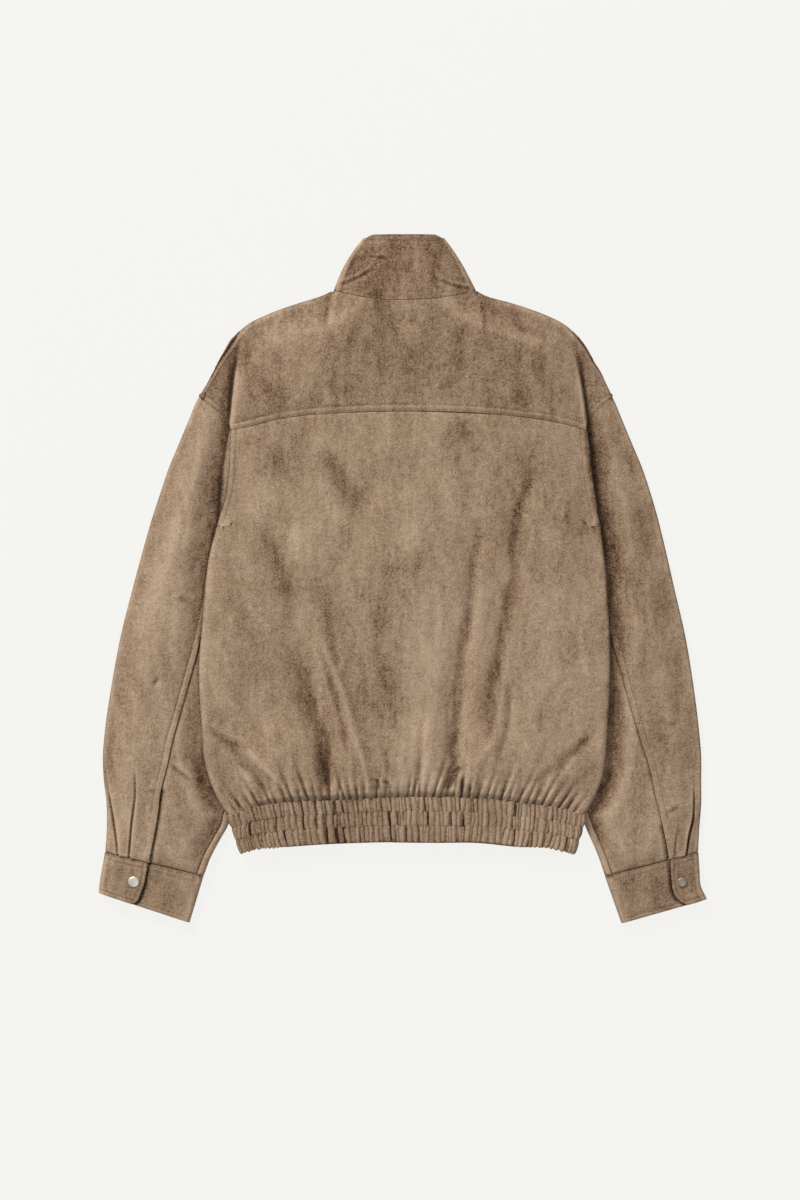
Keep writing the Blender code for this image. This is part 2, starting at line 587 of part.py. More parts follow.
def back_yoke():
    """Yoke from the neck seam, over both shoulder folds, to the yoke and armhole seams."""
    grid = []
    for top, low, inside, curve, fold in neck_and_shoulder():
        side = -1 if top[0] < 0 else 1
        share = np.linspace(0.0, 1.0, 160) ** 1.5
        x = top[0] + (low[0] - top[0]) * share
        y = top[1] + (low[1] - top[1]) * share
        if curve > 0.0:
            straight = (np.interp(y, (186.0, 292.5), (across(EDGE, side, 186.0),
                                                      across(EDGE, side, 292.5))))
            bulge = (across(EDGE, side, y) - straight) * (y < 292.5) * (y > 186.0)
            x = x + side * bulge * curve
        z = yoke_top(x, y)
        if not fold:
            path = np.column_stack((x, y, z))
            total = measure(path)[-1]
            grid.append(sample(path, place(total, (0.0, 4.0, 8.0, 12.0, 16.0), 5, (0.0, 3.0))))
            continue
        away = outline_distance(x, y)
        radius = float(fold_height(top[1])) / 2.0
        near = np.sqrt(np.maximum(radius ** 2 - (radius - np.minimum(away, radius)) ** 2, 0.0))
        z = np.where(away < radius, radius + near, z)
        below = away < radius + 0.6
        under = np.column_stack((x, y, radius - near))[below][::-1]
        path = np.concatenate((under[:-1], np.column_stack((x, y, z))))
        total = measure(path)[-1]
        bend = measure(under)[-1] * 2.0
        head = bend * np.array((0.0, 0.25, 0.5, 0.75, 1.0))
        grid.append(sample(path, place(total, head, 5, (0.0, 3.0))))
    wall("back_yoke", np.array(grid), CLOTH, SUEDE, -1)


def back_side(share):
    """Height y of the side end of a row of the back panel."""
    top = YOKE[0][1] - SEAM
    return top + (HEM[0][1] + SEAM - top) * share


def back_shares():
    """Shares of the half width at which the back panel has a column: gathers and crests."""
    sites = sorted(row[0] for row in GATHERS)
    marks = []
    for a, b in zip(sites[:-1], sites[1:]):
        marks.append(a)
        gap = b - a
        cuts = 1 if gap < 22.0 else 2
        for k in range(cuts):
            marks.append(a + gap * (k + 1.0) / (cuts + 1.0))
    marks.append(sites[-1])
    return np.array(marks)


def back_panel():
    """Back from yoke seam to hem; below the armhole it wraps the folded side edge."""
    marks = back_shares()
    grid = []
    for share in BACK_ROWS:
        y_side = back_side(share)
        path_x = []
        path_z = []
        ends = []
        for side in (-1, 1):
            edge = float(across(EDGE, side, y_side))
            top = float(np.interp(y_side, (-277.3, -245.0), (HEM_TOP, EDGE_TOP)))
            radius = (top - OVER_SLEEVE) / 2.0
            turn = np.linspace(0.0, np.pi, SIDE_COUNT)
            cap_x = edge - radius + radius * np.sin(turn)
            cap_z = OVER_SLEEVE + radius + radius * np.cos(turn)
            tail = np.array((float(side_seam(side, y_side)),))
            path_x.append(side * np.concatenate((cap_x, tail)))
            path_z.append(np.concatenate((cap_z, (OVER_SLEEVE,))))
            ends.append(edge - radius)
        middle = np.linspace(-ends[0], ends[1], 401)[1:-1]
        x = np.concatenate((path_x[0][::-1], middle, path_x[1]))
        hem_end = np.where(x < 0.0, -HEM[0][0], HEM[-1][0])
        hem_share = x * hem_end / either(EDGE, x, y_side)
        yoke_y = along(YOKE, x) - SEAM
        hem_y = along(HEM, hem_share) + SEAM
        y = yoke_y + (hem_y - yoke_y) * share
        on_top = slice(SIDE_COUNT + 1, -SIDE_COUNT - 1)
        z = np.concatenate((path_z[0][::-1], back_top(middle, y[on_top]), path_z[1]))
        path = np.column_stack((x, y, z))
        reach = measure(path)
        if y_side > 60.0:
            half = SIDE_COUNT // 2 + 1
            left = slice(half, len(x) // 2)
            right = slice(len(x) // 2, -half)
            begin = np.interp(-armhole_seam(-1, y_side), x[left], reach[left])
            finish = np.interp(armhole_seam(1, y_side), x[right], reach[right])
        else:
            begin = reach[0]
            finish = reach[-1]
        head = np.array((0.0, 0.8, 4.6, 8.1, 11.6, 15.0)) * (0.75 if y_side > 60.0 else 1.0)
        bounds = [float(armhole_seam(side, y_side) if y_side > 60.0
                        else across(EDGE, side, y_side)) for side in (-1, 1)]
        scale = np.interp(marks, (HEM[0][0], HEM[-1][0]), (-bounds[0], bounds[1]))
        inner = np.interp(scale, x[on_top], reach[on_top])
        stations = np.concatenate((begin + head, inner, finish - head[::-1]))
        grid.append(sample(path, stations))
    wall("back_panel", np.array(grid), CLOTH, SUEDE, 1)


def lapped(x, side):
    """Lift of the front lap: the left front is outermost, one stud above the table."""
    if side < 0:
        return FRONT_LIFT * smooth((x + 24.0) / 7.0)
    return (FRONT_LIFT + CLOTH + SEAM) * smooth((26.0 - x) / 11.0)


def armhole_ends(side):
    """Points of the front armhole seam, one for each sleeve row above the underarm."""
    return [row_points(side, row, (crossing(side, row, FRONT_ARMHOLE, SEAM),))[0]
            for row in range(1, FIRST_WHOLE_ROW)]


def side_seam(side, y):
    """Side seam under the folded edge of the body: distance from the centre line."""
    top = np.interp(y, (-277.3, -245.0), (HEM_TOP, EDGE_TOP))
    return across(EDGE, side, y) - (top - OVER_SLEEVE) / 2.0 - 1.5


def front_hem(x):
    """Hem seam of the fronts: y at distance x from the centre line."""
    return -261.5 - 15.8 * smooth((np.abs(x) - 110.0) / 98.0)


def front_line(side, x_end, y):
    """Distances of a front's columns on one row: over the sleeve, flat part and lap."""
    fold = min(float(across(INNER, side, y)) + 1.5, x_end - 1.5)
    drop = (x_end, fold, fold - 8.0, fold - 16.5)
    lap = NECK_STATIONS[-4:]
    return np.concatenate((drop, np.linspace(drop[-1], lap[0], 11)[1:-1], lap))


def front(side, word):
    """One front, from shoulder and neckline to hem, lying on the table under the back."""
    edge_y = np.array(SHOULDER_STATIONS)
    fine_y = np.linspace(edge_y[0] - 8.0, edge_y[-1] + 6.0, 300)
    fine = np.stack((across(OUTLINE, side, fine_y), fine_y), 1)
    normal = np.stack((np.gradient(fine_y), -np.gradient(fine[:, 0])), 1)
    normal = normal / np.linalg.norm(normal, axis=1, keepdims=True)
    fine = fine - (fold_height(fine_y) / 2.0 + 2.8)[:, None] * normal
    order = np.argsort(fine[:, 1])
    shoulder = np.stack((np.interp(edge_y, fine[order, 1], fine[order, 0]), edge_y), 1)
    neck_x = np.array(NECK_STATIONS)
    slope = 2.0 * (np.abs(neck_x) / 83.0) ** 1.6
    neck = np.stack((neck_x, front_neck(neck_x) - 2.0 * SEAM * np.hypot(1.0, slope)), 1)
    top = np.concatenate((shoulder, neck))
    ends = armhole_ends(side)
    last = ends[-1]
    base_x = front_line(side, last[0] - SEAM, last[1])
    base = np.stack((base_x, np.full(len(base_x), last[1])), 1)
    share = np.linspace(0.0, 1.0, len(base_x))
    plan = [(top, 0.0)]
    for end in ends:
        mix = (top[0, 1] - end[1]) / (top[0, 1] - last[1])
        line = top + (base - top) * mix
        shift = np.array((end[0] - SEAM, end[1])) - line[0]
        plan.append((line + shift * ((1.0 - share) ** 2)[:, None], 0.0))
    fold = across(INNER, side, 50.0) - 1.5
    climb = [(fold, 50.6, 0.0), (fold - 0.3, 48.4, 0.5), (fold - 0.3, 46.4, 1.0)]
    sides = [(float(side_seam(side, back_side(row))) - 1.5 * SEAM, back_side(row), 1.0)
             for row in BACK_ROWS[5:]]
    for x_end, y, over in climb + sides:
        x = front_line(side, x_end, y)
        low = np.minimum(y + 150.0, 0.0) / (back_side(1.0) + 150.0)
        row_y = np.where(low > 0.0, -150.0 + low * (front_hem(x) + 3.5 * SEAM + 150.0), y)
        plan.append((np.stack((x, row_y), 1), over))
    grid = []
    for line, over in plan:
        x = side * line[:, 0]
        z = front_bottom(x, line[:, 1], over) + lapped(x, side)
        grid.append(np.column_stack((x, line[:, 1], z)))
    wall("front_" + word, np.array(grid), CLOTH, SUEDE, side)


def front_neck(x):
    """Front neckline: y at distance x from the centre line."""
    return 272.0 + 64.0 * (np.abs(x) / 83.0) ** 2.6


# ---- Bands -------------------------------------------------------------------------------------
def ring_path(left, right, radius, base, top_z, lift):
    """Flattened ring from the front lap, under the left half, over the back and to the lap.

    left and right are the outermost distances; returns x, z and the place of each point:
    0 for the front half and 1 for the back half.
    """
    x, z, place_of = [], [], []
    floor = np.linspace(-LAP, left - radius, FRONT_COUNT)
    x.append(-floor)
    rise = base * smooth((floor - (left - radius - 16.0)) / 14.0)
    z.append(rise + lift * smooth((26.0 - floor) / 10.0))
    place_of.append(np.zeros(FRONT_COUNT))
    turn = np.linspace(0.0, np.pi, TURN_COUNT + 2)[1:-1]
    x.append(-(left - radius + radius * np.sin(turn)))
    z.append(base + radius * (1.0 - np.cos(turn)))
    place_of.append((turn > np.pi / 2.0).astype(float))
    middle = np.linspace(-(left - radius), right - radius, BACK_COUNT)
    x.append(middle)
    z.append(top_z(middle))
    place_of.append(np.ones(BACK_COUNT))
    x.append(right - radius + radius * np.sin(turn))
    z.append(base + radius * (1.0 + np.cos(turn)))
    place_of.append((turn < np.pi / 2.0).astype(float))
    floor = np.linspace(right - radius, -LAP, FRONT_COUNT)
    x.append(floor)
    rise = base * smooth((floor - (right - radius - 16.0)) / 14.0)
    over = lift + BAND + SEAM
    z.append(rise + over * smooth((30.0 - floor) / 16.0))
    place_of.append(np.zeros(FRONT_COUNT))
    return np.concatenate(x), np.concatenate(z), np.concatenate(place_of)


def ring_marks(reach):
    """Running lengths at the laps and at both ends of each side's turn."""
    one = FRONT_COUNT - 1
    two = one + TURN_COUNT
    three = two + BACK_COUNT
    four = three + TURN_COUNT - 1
    return 0.0, reach[one], reach[two], reach[three], reach[four], reach[-1]


def collar():
    """Stand collar: a doubled band round the neck, flattened, its ends lapped at the front."""
    grid = []
    for share in (0.0, 0.22, 0.45, 0.68, 0.87, 1.0):
        side_y = 337.6 + (398.5 - 337.6) * share
        left = float(across(COLLAR_SIDE, -1, side_y))
        right = float(across(COLLAR_SIDE, 1, side_y))
        radius = 5.5 - 1.7 * share

        def top_z(x, share=share, radius=radius):
            seam_x = x / np.where(x < 0.0, left, right) * 83.0
            seam = back_top(seam_x, along(NECK, seam_x)) + 0.3
            high = 2.0 * radius + 2.6 * smooth((44.0 - np.abs(x)) / 30.0)
            level = seam + (high - seam) * share
            edge = smooth((min(left, right) - radius - np.abs(x)) / 6.0)
            return 2.0 * radius + (level - 2.0 * radius) * edge

        x, z, back = ring_path(left, right, radius, 0.0, top_z, FRONT_LIFT)
        spread = np.clip(np.abs(x) / np.where(x < 0.0, left, right), 0.0, 1.0)
        neck_y = along(NECK, np.sign(x) * spread * 83.0) + SEAM
        top_y = 402.6 - 4.1 * smooth((spread - 0.72) / 0.28)
        back_y = neck_y + (top_y - neck_y) * share
        front_low = front_neck(spread * 83.0) + 1.5 * SEAM
        front_high = 343.0 + 55.5 * spread ** 2.4
        front_y = front_low + (front_high - front_low) * share
        y = np.where(back > 0.5, back_y, front_y)
        if share > 0.0:
            y = y + (side_y - y) * smooth((spread - 0.86) / 0.14)
        path = np.column_stack((x, y, z))
        reach = measure(path)
        marks = ring_marks(reach)
        front_x = np.array(NECK_STATIONS) / NECK_STATIONS[0]
        one = np.interp(front_x[::-1] * (left - radius), -x[:FRONT_COUNT], reach[:FRONT_COUNT])
        two = np.interp(-front_x * (right - radius), -x[-FRONT_COUNT:], reach[-FRONT_COUNT:])
        one[0] = marks[0]
        two[-1] = marks[5]
        stations = np.concatenate((
            one[:-1], np.linspace(marks[1], marks[2], 5)[:-1],
            np.linspace(marks[2], marks[3], 13)[:-1], np.linspace(marks[3], marks[4], 5)[:-1],
            two))
        grid.append(sample(path, stations))
    wall("collar", np.array(grid), BAND, SUEDE_BAND, -1)


def waistband():
    """Doubled band; the back is shirred over three elastic channels, the front is plain."""
    levels = []
    for channel in range(CHANNELS):
        levels += [channel / CHANNELS, (channel + 0.5) / CHANNELS]
    levels.append(1.0)
    outer = []
    inner = []
    for share in levels:
        left = float(np.interp(share, *np.array([(r[0], r[1]) for r in BAND_SIDE]).T))
        right = float(np.interp(share, *np.array([(r[0], r[2]) for r in BAND_SIDE]).T))
        base = OVER_SLEEVE + (3.0 - OVER_SLEEVE) * smooth(share * 1.4)
        radius = (HEM_TOP - base) / 2.0
        x, z, back = ring_path(left, right, radius, base,
                               lambda m: np.full(len(m), HEM_TOP), FRONT_LIFT)
        spread = x / np.where(x < 0.0, left, right)
        top_y = along(HEM, np.where(x < 0.0, 207.8, 211.2) * spread) - 2.0 * SEAM
        low_y = along(BAND_EDGE, np.where(x < 0.0, 191.6, 199.1) * spread)
        front_top = front_hem(np.abs(spread) * 209.0) - 2.0 * SEAM
        front_low = low_y - 4.0 * smooth((190.0 - np.abs(x)) / 60.0)
        near = smooth((np.abs(spread) - 0.955) / 0.04)
        top_y = np.where(back < 0.5, front_top + (top_y - front_top) * near, top_y)
        low_y = np.where(back < 0.5, front_low, low_y)
        y = top_y + (low_y - top_y) * share
        path = np.column_stack((x, y, z))
        reach = measure(path)
        marks = ring_marks(reach)
        fine = np.linspace(marks[2], marks[3], 2 * RUFFLES + 1)
        stations = np.concatenate((
            np.linspace(marks[0], marks[1], 9)[:-1], np.linspace(marks[1], marks[2], 5)[:-1],
            fine[:-1], np.linspace(marks[3], marks[4], 5)[:-1],
            np.linspace(marks[4], marks[5], 9)))
        line = sample(path, stations)
        stitched = abs(share * CHANNELS - round(share * CHANNELS)) < 0.01
        height = RUFFLE_HEIGHT * (0.45 if stitched else 1.0)
        ripple = np.zeros(len(line))
        waves = np.arange(2 * RUFFLES)
        uneven = 0.8 + 0.2 * np.sin(waves * 1.7 + 3.0 * share) * np.cos(waves * 0.6)
        ripple[12:12 + 2 * RUFFLES] = height * (waves % 2) * uneven
        line[:, 2] += ripple
        outer.append(line)
        if share in (0.0, 1.0) or abs(share - 0.5) < 0.01:
            coarse = np.concatenate((
                np.linspace(marks[0], marks[1], 9)[:-1],
                np.linspace(marks[1], marks[2], 5)[:-1],
                np.linspace(marks[2], marks[3], RUFFLES // 4 + 1)[:-1],
                np.linspace(marks[3], marks[4], 5)[:-1],
                np.linspace(marks[4], marks[5], 9)))
            inner.append(sample(path, coarse))
    outer = np.array(outer)
    inner = np.array(inner)
    inner = inner - BAND * grid_normals(inner)
    join("waistband", outer, inner, SUEDE_BAND)


def zipper(first, second, points):
    """Triangles between two open lines of point indices, matched by their running length."""
    faces = []
    reach_one = measure(points[first])
    reach_two = measure(points[second])
    reach_one = reach_one / reach_one[-1]
    reach_two = reach_two / reach_two[-1]
    i = j = 0
    while i < len(first) - 1 or j < len(second) - 1:
        step_first = j == len(second) - 1
        if not step_first and i < len(first) - 1:
            step_first = reach_one[i + 1] <= reach_two[j + 1]
        if step_first:
            faces.append((first[i], second[j], first[i + 1]))
            i += 1
        else:
            faces.append((first[i], second[j], second[j + 1]))
            j += 1
    return faces


def join(name, outer, inner, look):
    """Closed wall from two grids that need not have the same number of points."""
    rows, columns = outer.shape[:2]
    rows_in, columns_in = inner.shape[:2]
    points = np.concatenate((outer.reshape(-1, 3), inner.reshape(-1, 3)))
    index = np.arange(rows * columns).reshape(rows, columns)
    index_in = rows * columns + np.arange(rows_in * columns_in).reshape(rows_in, columns_in)
    faces = [grid_faces(rows, columns, 0),
             grid_faces(rows_in, columns_in, rows * columns)[:, ::-1]]
    faces.append(zipper(index[0], index_in[0], points))
    faces.append(zipper(index[-1][::-1], index_in[-1][::-1], points))
    faces.append(zipper(index[:, -1], index_in[:, -1], points))
    faces.append(zipper(index[::-1, 0], index_in[::-1, 0], points))
    return solid(name, points, np.concatenate(faces), look)


def cuff(side, word, top_out, top_in, low_out, low_in):
    """Doubled cuff, flattened, with one end lapped over the other on the back."""
    grid = []
    radius = CUFF_TOP / 2.0
    seam = across(BACK_SEAM, side, -333.0)
    top_out, top_in, low_out, low_in = (np.array(p) for p in (top_out, top_in, low_out, low_in))
    for share in (0.0, 0.4, 0.7, 0.88, 1.0):
        out = top_out + (low_out - top_out) * share
        end = top_in + (low_in - top_in) * share
        width = np.linalg.norm(end - out)
        unit = (end - out) / width
        set_back = np.interp(share, *np.array(CUFF_END).T)
        start = (top_out[0] - seam) - set_back * 0.55 + 3.0 * share
        raised = BAND + SEAM + 0.1
        top = np.linspace(start, radius, 60)
        turn = np.linspace(0.0, np.pi, 17)[1:-1]
        cap = radius - radius * np.sin(turn)
        floor = np.linspace(radius, width - radius, 60)
        inner_cap = width - radius + radius * np.sin(turn)
        under_end = max(start - 26.0 + set_back * 0.3, 18.0)
        back = np.linspace(width - radius, under_end, 60)
        reach = np.concatenate((top, cap, floor, inner_cap, back))
        lift = raised * smooth((top - 4.0) / 12.0)
        z = np.concatenate((CUFF_TOP + lift, radius + radius * np.cos(turn), np.zeros(60),
                            radius - radius * np.cos(turn), np.full(60, CUFF_TOP)))
        flat = out + reach[:, None] * unit
        path = np.column_stack((side * flat[:, 0], flat[:, 1], z))
        length = measure(path)
        marks = (0.0, length[59], length[75], length[134], length[150], length[-1])
        stations = np.concatenate((
            np.linspace(marks[0], marks[1], 6)[:-1], np.linspace(marks[1], marks[2], 5)[:-1],
            np.linspace(marks[2], marks[3], 7)[:-1], np.linspace(marks[3], marks[4], 5)[:-1],
            np.linspace(marks[4], marks[5], 8)))
        grid.append(sample(path, stations))
    wall("cuff_" + word, np.array(grid), BAND, SUEDE_BAND, side)


def stud(name, x, y, z, up):
    """Cap of a press stud: a low dome on a straight rim, facing up or down."""
    around = 12
    turn = np.linspace(0.0, 2.0 * np.pi, around, endpoint=False)
    profile = ((1.0, 0.0), (1.0, 0.45), (0.72, 0.92))
    points = []
    for radius, height in profile:
        ring = np.stack((x + STUD_RADIUS * radius * np.cos(turn),
                         y + STUD_RADIUS * radius * np.sin(turn),
                         np.full(around, z + up * STUD_HEIGHT * height)), 1)
        points.append(ring)
    points = np.concatenate(points)
    foot = len(points)
    points = np.concatenate((points, ((x, y, z), (x, y, z + up * STUD_HEIGHT * 1.04))))
    faces = []
    for level in range(len(profile) - 1):
        for k in range(around):
            a = level * around + k
            b = level * around + (k + 1) % around
            faces += [(a, b, b + around), (a, b + around, a + around)]
    for k in range(around):
        a = k
        b = (k + 1) % around
        last = (len(profile) - 1) * around
        faces += [(foot, b, a), (foot + 1, last + a, last + b)]
    solid(name, points, faces, STUD_METAL)


def clear_scene():
    """Removes every object."""
    for existing in list(bpy.data.objects):
        bpy.data.objects.remove(existing, do_unlink=True)


clear_scene()
back_yoke()
back_panel()
collar()
waistband()
for cuff_side, *corners in CUFFS:
    cuff(cuff_side, "left" if cuff_side < 0 else "right", *corners)
for body_side, side_word in ((-1, "left"), (1, "right")):
    front(body_side, side_word)
    sleeves(body_side, side_word)
    sleeve_head(body_side, side_word)
for stud_side, stud_x, stud_y in CUFF_STUDS:
    stud_z = CUFF_TOP + BAND + SEAM + 0.1 + 0.05
    stud("cuff_stud_" + ("left" if stud_side < 0 else "right"), stud_side * stud_x, stud_y,
         stud_z, 1)
for number, stud_y in enumerate(FRONT_STUD_Y):
    stud("front_stud_%d" % (number + 1), 0.0, stud_y, FRONT_LIFT - 0.05, -1)
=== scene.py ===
# %% [markdown]
# # A suede blouson, laid flat with its back upwards
# The jacket is a plain blouson: a yoke over dropped shoulders, one back panel that is gathered into
# a shirred elastic waistband, two-piece sleeves with studded cuffs, and a stand collar. Every panel
# is worked out as a surface from tables of its seams, then given the thickness of the suede. Small
# things that a maker would add by hand, such as topstitching, pleats and creases, come from short
# tables too, so one number moves one crease.

# %% Load the frame
import json
import mathutils
import bpy
import numpy as np
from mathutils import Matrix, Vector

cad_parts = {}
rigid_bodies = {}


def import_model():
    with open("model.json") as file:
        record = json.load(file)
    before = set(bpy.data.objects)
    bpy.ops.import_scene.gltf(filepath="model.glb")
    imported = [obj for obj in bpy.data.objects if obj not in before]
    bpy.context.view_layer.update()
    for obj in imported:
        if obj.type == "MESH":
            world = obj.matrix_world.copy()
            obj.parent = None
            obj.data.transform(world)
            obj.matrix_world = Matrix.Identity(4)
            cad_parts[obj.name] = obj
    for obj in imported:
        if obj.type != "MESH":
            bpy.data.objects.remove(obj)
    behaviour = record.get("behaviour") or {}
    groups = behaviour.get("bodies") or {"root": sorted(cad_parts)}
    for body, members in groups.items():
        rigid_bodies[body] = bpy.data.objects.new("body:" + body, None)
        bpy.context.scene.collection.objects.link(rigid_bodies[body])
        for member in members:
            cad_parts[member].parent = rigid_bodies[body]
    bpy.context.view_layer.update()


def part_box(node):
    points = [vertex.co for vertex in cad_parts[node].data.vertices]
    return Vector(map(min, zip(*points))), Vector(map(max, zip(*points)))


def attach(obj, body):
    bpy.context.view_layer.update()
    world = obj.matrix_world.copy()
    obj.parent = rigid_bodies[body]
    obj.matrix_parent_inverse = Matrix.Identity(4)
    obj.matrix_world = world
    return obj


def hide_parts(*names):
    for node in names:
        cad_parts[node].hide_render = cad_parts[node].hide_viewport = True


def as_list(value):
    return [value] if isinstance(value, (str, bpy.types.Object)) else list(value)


for thing in list(bpy.data.objects):
    bpy.data.objects.remove(thing, do_unlink=True)
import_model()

# %% [markdown]
# ## Sizes
# Lengths are in millimetres. The jacket lies in the plane of x and y, z is the height above the
# table, y runs from hem to collar and the wearer's left is -x. Side -1 is the left sleeve and
# side +1 the right one, and a table row holds y, then the distance from the centre line on the
# left and on the right. These are the heights of a soft garment that lies in layers.

# %% Sizes and heights
CLOTH = 1.4           # one layer of suede
BAND = 2.4            # a doubled band
SEAM = 0.12           # gap left between two panels at a seam
LAP = 12.5            # reach of each front past the centre line
UNDER_BODY = 7.8      # thickness of the sleeve's fold beside the body
SHOULDER = 11.0       # thickness of the shoulder's fold
OVER_SLEEVE = 8.2     # level at which the body's side rests on the sleeve
EDGE_TOP = 16.8       # top of the body along its folded sides
HEM_TOP = 15.0        # top of the body along the hem
BODY_SWELL = 1.7      # swell of the body towards its middle
SLEEVE_CROWN = 14.2   # top of the sleeve between its folds
CUFF_TOP = 11.0
STEP = 4.5            # width of the drop from the body to the sleeve
HEM_PUFF = 5.5        # puff of the body above the hem
FRONT_LIFT = 1.3      # rise of the front lap over the studs under it
UNDERARM = 8.0        # distance of the underarm seam from the inner fold
STUD_RADIUS = 6.2
STUD_HEIGHT = 1.2
HEM_CORNER = -277.3   # y of both ends of the hem seam

# %% [markdown]
# ## Seams and folds
# A pattern cutter draws the seams first, and this file starts from them too. Each table is one
# line of the flat jacket: its outer fold, the folded edge of the body, the armholes, the inner
# fold and the back seam of the sleeves, and the lines of neck, yoke, hem, waistband and collar.

# %% Tables of seams and folds
OUTLINE = np.array((
    (337.5, 83.0, 83.0), (329.3, 101.2, 99.5), (323.6, 120.0, 121.0), (311.2, 155.6, 158.5),
    (297.2, 184.3, 187.8), (283.1, 197.1, 201.8), (269.1, 206.5, 212.4), (255.1, 215.9, 220.5),
    (241.0, 224.1, 229.9), (227.0, 232.2, 236.9), (212.9, 241.0, 243.9), (184.9, 253.3, 255.6),
    (156.8, 265.0, 267.3), (128.7, 276.7, 279.0), (100.6, 286.1, 288.4), (72.5, 295.4, 296.6),
    (44.5, 303.6, 303.6), (-11.7, 318.8, 316.5), (-67.9, 332.9, 329.4), (-124.0, 343.4, 338.7),
    (-180.2, 351.6, 345.7), (-208.3, 353.9, 348.1), (-236.3, 352.8, 348.1),
    (-264.4, 349.6, 348.1), (-292.5, 349.2, 345.9), (-321.4, 350.9, 344.3)))
EDGE = np.array((
    (292.5, 184.3, 191.3), (280.2, 191.8, 196.6), (251.9, 198.1, 204.1), (216.4, 203.1, 211.1),
    (188.4, 205.9, 214.7), (160.3, 209.4, 217.4), (131.0, 213.1, 219.5), (95.9, 216.4, 224.4),
    (60.8, 219.4, 229.4), (32.8, 226.9, 232.9), (5.8, 231.4, 235.8), (-23.4, 234.4, 237.6),
    (-55.0, 236.6, 239.8), (-85.4, 239.6, 240.6), (-114.7, 240.5, 240.7),
    (-152.1, 238.9, 239.1), (-182.5, 236.7, 237.5), (-212.9, 234.4, 235.2),
    (-237.5, 227.7, 230.5), (-258.6, 218.7, 221.9), (-277.3, 207.8, 211.2)))
BACK_ARMHOLE = np.array((
    (173.0, 203.0, 211.6), (119.3, 205.3, 216.6), (95.4, 208.3, 220.2), (74.9, 214.7, 225.2),
    (61.0, 219.0, 229.0)))
FRONT_ARMHOLE = np.array((
    (212.0, 238.0, 241.0), (185.0, 222.0, 226.0), (150.0, 206.0, 211.0), (110.0, 195.0, 200.0),
    (75.0, 187.5, 191.5), (52.0, 184.0, 186.0)))
INNER = np.array((
    (186.0, 206.5, 214.5), (168.0, 203.0, 211.0), (140.0, 198.0, 204.0), (108.0, 192.0, 197.0),
    (75.0, 186.0, 190.0), (44.5, 181.0, 183.0), (-25.7, 167.0, 168.0), (-95.9, 162.0, 162.0),
    (-166.0, 166.7, 167.0), (-224.6, 182.0, 183.0), (-262.0, 198.0, 200.0),
    (-277.3, 204.0, 207.0), (-289.0, 206.5, 211.0), (-306.5, 216.0, 218.7),
    (-326.4, 226.5, 227.0), (-349.4, 235.4, 235.0)))
BACK_SEAM = np.array((
    (186.0, 206.9, 214.9), (168.0, 203.6, 211.6), (140.0, 204.0, 211.0), (100.0, 207.0, 213.0),
    (60.0, 213.0, 219.0), (20.0, 222.0, 227.0), (-20.0, 228.0, 232.0), (-55.0, 235.0, 238.0),
    (-81.0, 240.7, 245.0), (-104.0, 247.0, 251.8), (-133.0, 255.0, 259.3),
    (-164.0, 263.5, 268.3), (-193.0, 271.5, 277.2), (-221.0, 277.5, 286.2),
    (-251.0, 285.0, 292.5), (-276.0, 288.0, 298.6), (-304.0, 293.0, 304.9),
    (-333.0, 299.0, 310.0)))
SLEEVE_ROWS = np.array((
    (212.5, 186.0), (200.0, 168.0), (180.0, 140.0), (152.0, 108.0), (116.0, 75.0),
    (92.0, 53.0), (80.0, 44.5), (30.0, 2.0), (-28.0, -52.0), (-88.0, -112.0),
    (-148.0, -171.0), (-200.0, -224.0), (-238.0, -262.0), (-270.0, -295.0), (-297.0, -323.0),
    (-320.6, -348.6)))
NECK = np.array(((-83.0, 337.0), (-56.7, 330.2), (-24.0, 325.3), (8.8, 325.3), (41.5, 327.7),
                 (66.1, 332.6), (83.0, 338.0)))
YOKE = np.array(((-203.0, 172.5), (-185.4, 176.0), (-157.4, 183.3), (-134.0, 187.8),
                 (-87.2, 192.0), (-28.7, 194.6), (18.1, 194.8), (64.9, 193.6), (111.7, 190.7),
                 (135.1, 188.4), (181.9, 181.3), (212.0, 172.5)))
HEM = np.array(((-207.8, -277.3), (-199.0, -275.0), (-191.0, -271.8), (-182.3, -269.5),
                (-155.4, -264.1), (-128.6, -261.0), (-95.0, -260.0), (-54.6, -258.0),
                (-14.4, -256.0), (46.9, -255.6), (99.2, -257.9), (144.0, -263.1),
                (181.2, -268.3), (195.0, -271.8), (202.5, -275.0), (211.2, -277.3)))
BAND_EDGE = np.array(((-191.6, -320.6), (-175.6, -316.4), (-148.7, -313.1), (-108.5, -309.7),
                      (-68.1, -307.7), (-14.6, -306.3), (39.5, -307.1), (84.2, -307.1),
                      (129.1, -311.6), (178.3, -316.1), (199.1, -321.3)))
BAND_SIDE = np.array(((0.0, 207.8, 211.2), (0.3, 201.7, 208.1), (0.6, 197.7, 204.2),
                      (1.0, 191.6, 199.1)))
COLLAR_SIDE = np.array(((337.5, 83.0, 83.5), (351.6, 77.4, 76.4), (365.0, 71.4, 69.4),
                        (386.0, 58.3, 56.2), (398.5, 48.5, 46.8)))
print("tables:", len(OUTLINE), "outline rows,", len(SLEEVE_ROWS), "sleeve rows")

# %% [markdown]
# ## Helpers for curves
# A seam is a table with a few points, and real seams bend softly between them. A cubic through the
# points gives that: the slope at each point is the mean of the slopes on both sides of it. Blender
# curves could do the same, but a function of y can be asked for whole arrays at once.

# %% Curves through tables
def smooth(share):
    """Eases from 0 to 1: three times the square less twice the cube."""
    share = np.clip(share, 0.0, 1.0)
    return share * share * (3.0 - 2.0 * share)


